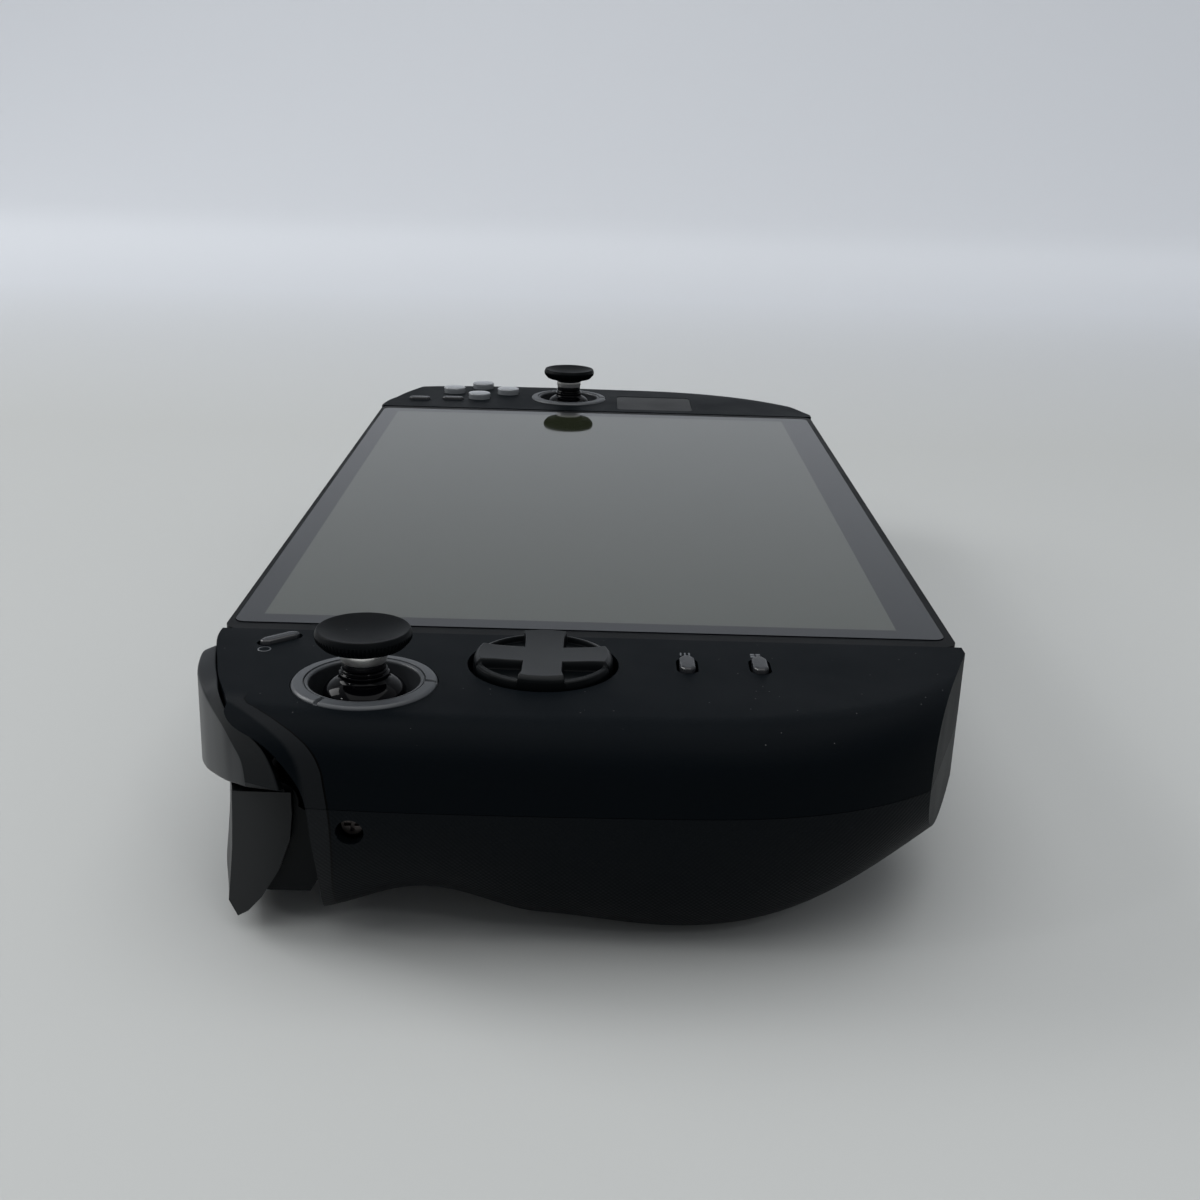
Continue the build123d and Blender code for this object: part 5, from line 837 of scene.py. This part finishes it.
# Lines along a bumper, from the tablet outwards: |X|, Y and height over the face, in millimetres
BUMPER_CREASE = [
    (109.8, 67.0, -1.7), (111.8, 67.85, -1.5), (120.0, 66.5, -1.5), (127.0, 64.0, -2.0), (131.6, 61.5, -3.1),
    (135.3, 58.8, -4.8), (137.0, 56.9, -7.3), (138.4, 55.3, -9.6), (139.0, 54.6, -13.2),
]
BUMPER_FOOT = [
    (109.8, 67.0, -20.4), (111.8, 67.9, -20.0), (120.0, 66.6, -18.2), (127.0, 64.1, -16.7),
    (132.0, 61.2, -15.6), (135.5, 58.6, -14.9), (137.4, 56.7, -14.4), (138.6, 55.3, -14.2),
    (139.1, 54.5, -14.0),
]
BUMPER_EDGE = [
    (109.8, 65.4, -0.7), (111.6, 65.1, -0.4), (119.4, 63.4, -0.3), (125.6, 61.6, -0.3), (132.5, 59.7, -0.4),
    (137.3, 56.8, -2.7), (141.1, 51.5, -5.7), (142.1, 49.4, -9.2), (142.4, 48.3, -13.0),
]
BUMPER_BACK = [
    (109.8, 65.0, -2.2), (111.6, 64.8, -2.0), (119.4, 63.0, -1.9), (125.6, 61.2, -1.9), (132.2, 59.3, -2.0),
    (136.0, 56.2, -3.9), (139.6, 51.0, -7.0), (140.6, 49.0, -10.2), (140.8, 47.9, -13.3),
]
BUMPER_HEEL = [
    (109.8, 65.2, -20.4), (111.8, 65.0, -20.0), (119.4, 63.4, -18.2), (125.6, 61.6, -16.7),
    (131.0, 59.6, -15.6), (134.0, 57.0, -14.9), (135.8, 54.0, -14.5), (137.5, 51.0, -14.2),
    (140.5, 47.8, -14.0),
]


class CONSOLE_OT_bumpers(bpy.types.Operator):
    """Make the bumpers: an outer face and an end band that meet in a crease, on an arm with a knuckle"""

    bl_idname = "console.bumpers"
    bl_label = "Bumpers"

    def execute(self, context):
        count = 90
        lines = (BUMPER_CREASE, BUMPER_EDGE, BUMPER_BACK, BUMPER_HEEL, BUMPER_FOOT)
        stations = np.stack([smooth_line(line, count) for line in lines], 1)
        rounds = [0, 0.55, 0.5, 0.3, 0.3, 0.6, 0]
        # painted shade: these points, the end band, are painted darker and less shiny than the outer face
        painted_shade_band = slice(4, 25)  # a loop's points from the middle of the crease's round to the heel
        pivot = (110.6, 61.5)
        for side, sign in SIDES.items():
            body = f"{side}_bumper"
            loops = []
            for station in stations:
                start = (station[-1] + station[0]) / 2
                loops.append(rounded_line(np.concatenate([[start], station, [start]]), rounds, 6)[:-1])
            loops = np.array(loops)
            x, y, z = loops[..., 0] * MM, loops[..., 1] * MM, loops[..., 2] * MM
            points = np.stack([sign * x, y, face() + z], -1)
            share = np.zeros(loops.shape[:2])
            share[:, painted_shade_band] = 1
            skin = surface(f"{side}_bumper_skin", points, close_v=True, caps=True, share=share)
            finish(sharp(skin, 32), finishes["bumper"], body, [f"{side}_bumper"])
            tube = rounded_line([(1.36, -10), (2.7, -10), (2.7, -5), (1.36, -5), (1.36, -10)],
                                [0, 0.2, 0.2, 0.1, 0], 4)[:-1] * MM
            knuckle = turned(f"{side}_bumper_knuckle", tube,
                             (sign * pivot[0] * MM, pivot[1] * MM, face()), 64)
            finish(knuckle, finishes["bumper"], body)
            arm = pressed(
                f"{side}_bumper_arm", lambda inset: rounded_rectangle(3.2 * MM, 3.6 * MM, 0.4 * MM, inset),
                [(0.2 * MM, 0), (0, 0.2 * MM), (0, 4.8 * MM), (0.2 * MM, 5 * MM)],
                (sign * (pivot[0] + 1.0) * MM, (pivot[1] + 3.5) * MM, face() - 10 * MM))
            finish(arm, finishes["bumper"], body)
        return {"FINISHED"}


class CONSOLE_OT_marks(bpy.types.Operator):
    """Print the plain marks by the left controller's long buttons: a ring, three bars and four squares"""

    bl_idname = "console.marks"
    bl_label = "Marks"

    def execute(self, context):
        rise = 0.03

        def plate(name, length, width, x, y):
            """A thin bar or square with round corners, half sunk in the face."""
            return pressed(name, lambda inset: rounded_rectangle(length * MM, width * MM, 0.1 * MM, inset),
                           [(0, -rise * MM), (0, rise * MM)], (x * MM, y * MM, face()))

        ring = np.array([(0.95, -rise), (1.2, -rise), (1.2, rise), (0.95, rise)]) * MM
        plates = [turned("ring_mark", ring, (-113.3 * MM, 56.4 * MM, face()), 48)]
        plates += [plate("bar_mark", 1.5, 0.3, -110.4, -17.5 + 0.75 * k) for k in (-1, 0, 1)]
        plates += [plate("square_mark", 0.8, 0.8, x, y) for x in (-110.7, -109.7) for y in (-30.5, -29.5)]
        for mark in plates:
            finish(mark, finishes["mark"], "left_controller")
        return {"FINISHED"}


PHOTO_PIXELS = 1200
FOCAL_PIXELS = 1474.03
SENSOR_WIDTH = 36.0
CAMERA_PLACE = (-0.35494, -0.00041, 0.13510)
CAMERA_TURNS = (-0.0071, 0.3273, -0.0295)


def camera():
    """The photograph's camera: a pinhole at its solved place, turned by yaw, pitch and roll."""
    yaw, pitch, roll = CAMERA_TURNS
    ahead = np.array([math.cos(pitch) * math.cos(yaw), math.cos(pitch) * math.sin(yaw), -math.sin(pitch)])
    right = np.cross(ahead, [0, 0, 1])
    right /= np.linalg.norm(right)
    down = np.cross(ahead, right)
    side = math.cos(roll) * right + math.sin(roll) * down
    under = -math.sin(roll) * right + math.cos(roll) * down
    data = bpy.data.cameras.new("photo camera")
    data.sensor_width = SENSOR_WIDTH
    data.lens = FOCAL_PIXELS / PHOTO_PIXELS * SENSOR_WIDTH
    data.clip_start = 0.01
    data.clip_end = 50.0
    obj = bpy.data.objects.new("photo camera", data)
    turn = Matrix([[side[i], -under[i], -ahead[i]] for i in range(3)]).to_4x4()
    obj.matrix_world = Matrix.Translation(CAMERA_PLACE) @ turn
    bpy.context.scene.collection.objects.link(obj)
    bpy.context.scene.camera = obj


def lamp(name, place, target, size, power):
    """A square soft lamp at a place, facing a target."""
    data = bpy.data.lights.new(name, "AREA")
    data.shape = "SQUARE"
    data.size = size
    data.energy = power
    obj = bpy.data.objects.new(name, data)
    obj.location = place
    obj.rotation_euler = (Vector(target) - Vector(place)).to_track_quat("-Z", "Y").to_euler()
    bpy.context.scene.collection.objects.link(obj)


# The floor, in metres: it is flat from behind the camera to past the console, then bends up into the backdrop
FLOOR_START, FLOOR_BEND_START, FLOOR_HALF_WIDTH = -6.0, 1.4, 9.0
BEND_RADIUS = 0.9
WALL_STRETCH = 3.0
FLOOR_ROWS, FLOOR_COLUMNS = 90, 9
GLOW_RANGE = (0.42, 1.2)
COLOUR_RANGE, COLOUR_STOPS = (-0.5, 1.6), (0.36, 0.58)  # a stretch of X, and where on it the colour goes over
ROOM_RANGE, ROOM_COLOUR = (-0.55, 0.75), (0.93, 0.96, 1.0)
LAMPS = (
    ("window lamp", (0.5, 1.6, 1.1), (0, 0, 0.02), 0.9, "lamp", 1.0),
    ("ceiling lamp", (-0.3, 0.0, 1.9), (-0.1, 0, 0), 2.4, "ceiling", 1.0),
    ("left spot", (-0.55, 1.15, 0.95), (-0.12, 0.03, 0.04), 0.10, "spot", 1.0),
    ("right spot", (-1.05, -0.55, 0.95), (-0.12, 0.03, 0.04), 0.10, "spot", 0.6),
)


def floor_points():
    """Points of a floor that is flat over the first 55 % of its rows, then follows a quarter of a circle, and
    then goes straight up. Each row runs across the room."""
    flat_share, whole_turn = 0.55, 2.2
    u = np.linspace(0, 1, FLOOR_ROWS)
    flat = u < flat_share
    turn = np.clip((u - flat_share) / (1 - flat_share), 0, 1) * whole_turn
    angle = np.clip(turn, 0, np.pi / 2)
    wall = np.clip(turn - np.pi / 2, 0, None) * WALL_STRETCH
    x = np.where(flat, FLOOR_START + u / flat_share * (FLOOR_BEND_START - FLOOR_START),
                 FLOOR_BEND_START + BEND_RADIUS * np.sin(angle))
    z = np.where(flat, 0.0, BEND_RADIUS * (1 - np.cos(angle)) + wall)
    y = np.linspace(-FLOOR_HALF_WIDTH, FLOOR_HALF_WIDTH, FLOOR_COLUMNS)
    xx, yy = np.meshgrid(x, y, indexing="ij")
    return np.stack([xx, yy, np.repeat(z[:, None], FLOOR_COLUMNS, 1)], -1)


def floor_material(look):
    """Pale paper whose colour goes over into the backdrop's behind the console. The far part also glows a
    little, for the camera and in reflections only, so that it lights nothing."""
    mat, tree, shader, place = empty_material("floor paper")
    shader["Roughness"].default_value = 0.6
    shader["Specular IOR Level"].default_value = 0.25
    at = axes(tree, place)
    ramp = tree.nodes.new("ShaderNodeValToRGB")
    for element, share, colour in zip(ramp.color_ramp.elements, COLOUR_STOPS, (look.floor, look.backdrop)):
        element.position = share
        element.color = (*colour, 1)
    tree.links.new(ramp_node(tree, at["X"], *COLOUR_RANGE, 0.0, 1.0, smooth=False), ramp.inputs["Fac"])
    tree.links.new(ramp.outputs["Color"], shader["Base Color"])
    path = tree.nodes.new("ShaderNodeLightPath").outputs
    either = math_node(tree, "MAXIMUM", path["Is Glossy Ray"], path["Is Camera Ray"])
    glow = ramp_node(tree, at["X"], *GLOW_RANGE, 0.0, look.glow)
    tree.links.new(math_node(tree, "MULTIPLY", glow, either), shader["Emission Strength"])
    shader["Emission Color"].default_value = (*look.backdrop, 1)
    return mat


def room_world(look):
    """Pale even light that is brighter from behind the console than from behind the camera."""
    world = bpy.data.worlds.new("room")
    world.use_nodes = True
    tree = world.node_tree
    back = tree.nodes["Background"].inputs
    back["Color"].default_value = (*ROOM_COLOUR, 1)
    ahead = axes(tree, tree.nodes.new("ShaderNodeTexCoord").outputs["Generated"])
    tree.links.new(ramp_node(tree, ahead["X"], *ROOM_RANGE, look.room, look.far_room), back["Strength"])
    return world


class CONSOLE_OT_stage(bpy.types.Operator):
    """Make the floor, the backdrop, the lamps and the photograph's camera"""

    bl_idname = "console.stage"
    bl_label = "Stage"

    def execute(self, context):
        look = context.scene.console_stage
        scene = context.scene
        scene.view_settings.view_transform = "Standard"
        camera()
        floor = surface("floor", floor_points())
        floor.data.materials.append(floor_material(look))
        scene.world = room_world(look)
        for name, place, target, size, setting, share in LAMPS:
            lamp(name, place, target, size, getattr(look, setting) * share)
        return {"FINISHED"}


class CONSOLE_PT_panel(bpy.types.Panel):
    bl_idname = "CONSOLE_PT_panel"
    bl_label = "Handheld console"
    bl_space_type = "VIEW_3D"
    bl_region_type = "UI"
    bl_category = "Console"

    def draw(self, context):
        scene = context.scene
        for settings in (scene.console_finishes, scene.console_controls, scene.console_stage):
            for name in settings.__annotations__:
                self.layout.prop(settings, name)
        for operator in OPERATORS:
            self.layout.operator(operator.bl_idname)


SETTINGS = {
    "console_finishes": ConsoleFinishes, "console_controls": ConsoleControls, "console_stage": ConsoleStage,
}
OPERATORS = (
    CONSOLE_OT_finishes, CONSOLE_OT_carried, CONSOLE_OT_sticks, CONSOLE_OT_stick_rings,
    CONSOLE_OT_direction_pad, CONSOLE_OT_buttons, CONSOLE_OT_bumpers, CONSOLE_OT_marks, CONSOLE_OT_stage,
)


def register():
    for name, settings in SETTINGS.items():
        bpy.utils.register_class(settings)
        setattr(bpy.types.Scene, name, bpy.props.PointerProperty(type=settings))
    for piece in (*OPERATORS, CONSOLE_PT_panel):
        bpy.utils.register_class(piece)


def unregister():
    for piece in (CONSOLE_PT_panel, *reversed(OPERATORS)):
        bpy.utils.unregister_class(piece)
    for name, settings in SETTINGS.items():
        delattr(bpy.types.Scene, name)
        bpy.utils.unregister_class(settings)


def main():
    register()
    for operator in OPERATORS:
        family, call = operator.bl_idname.split(".")
        getattr(getattr(bpy.ops, family), call)()


if __name__ == "__main__":
    main()
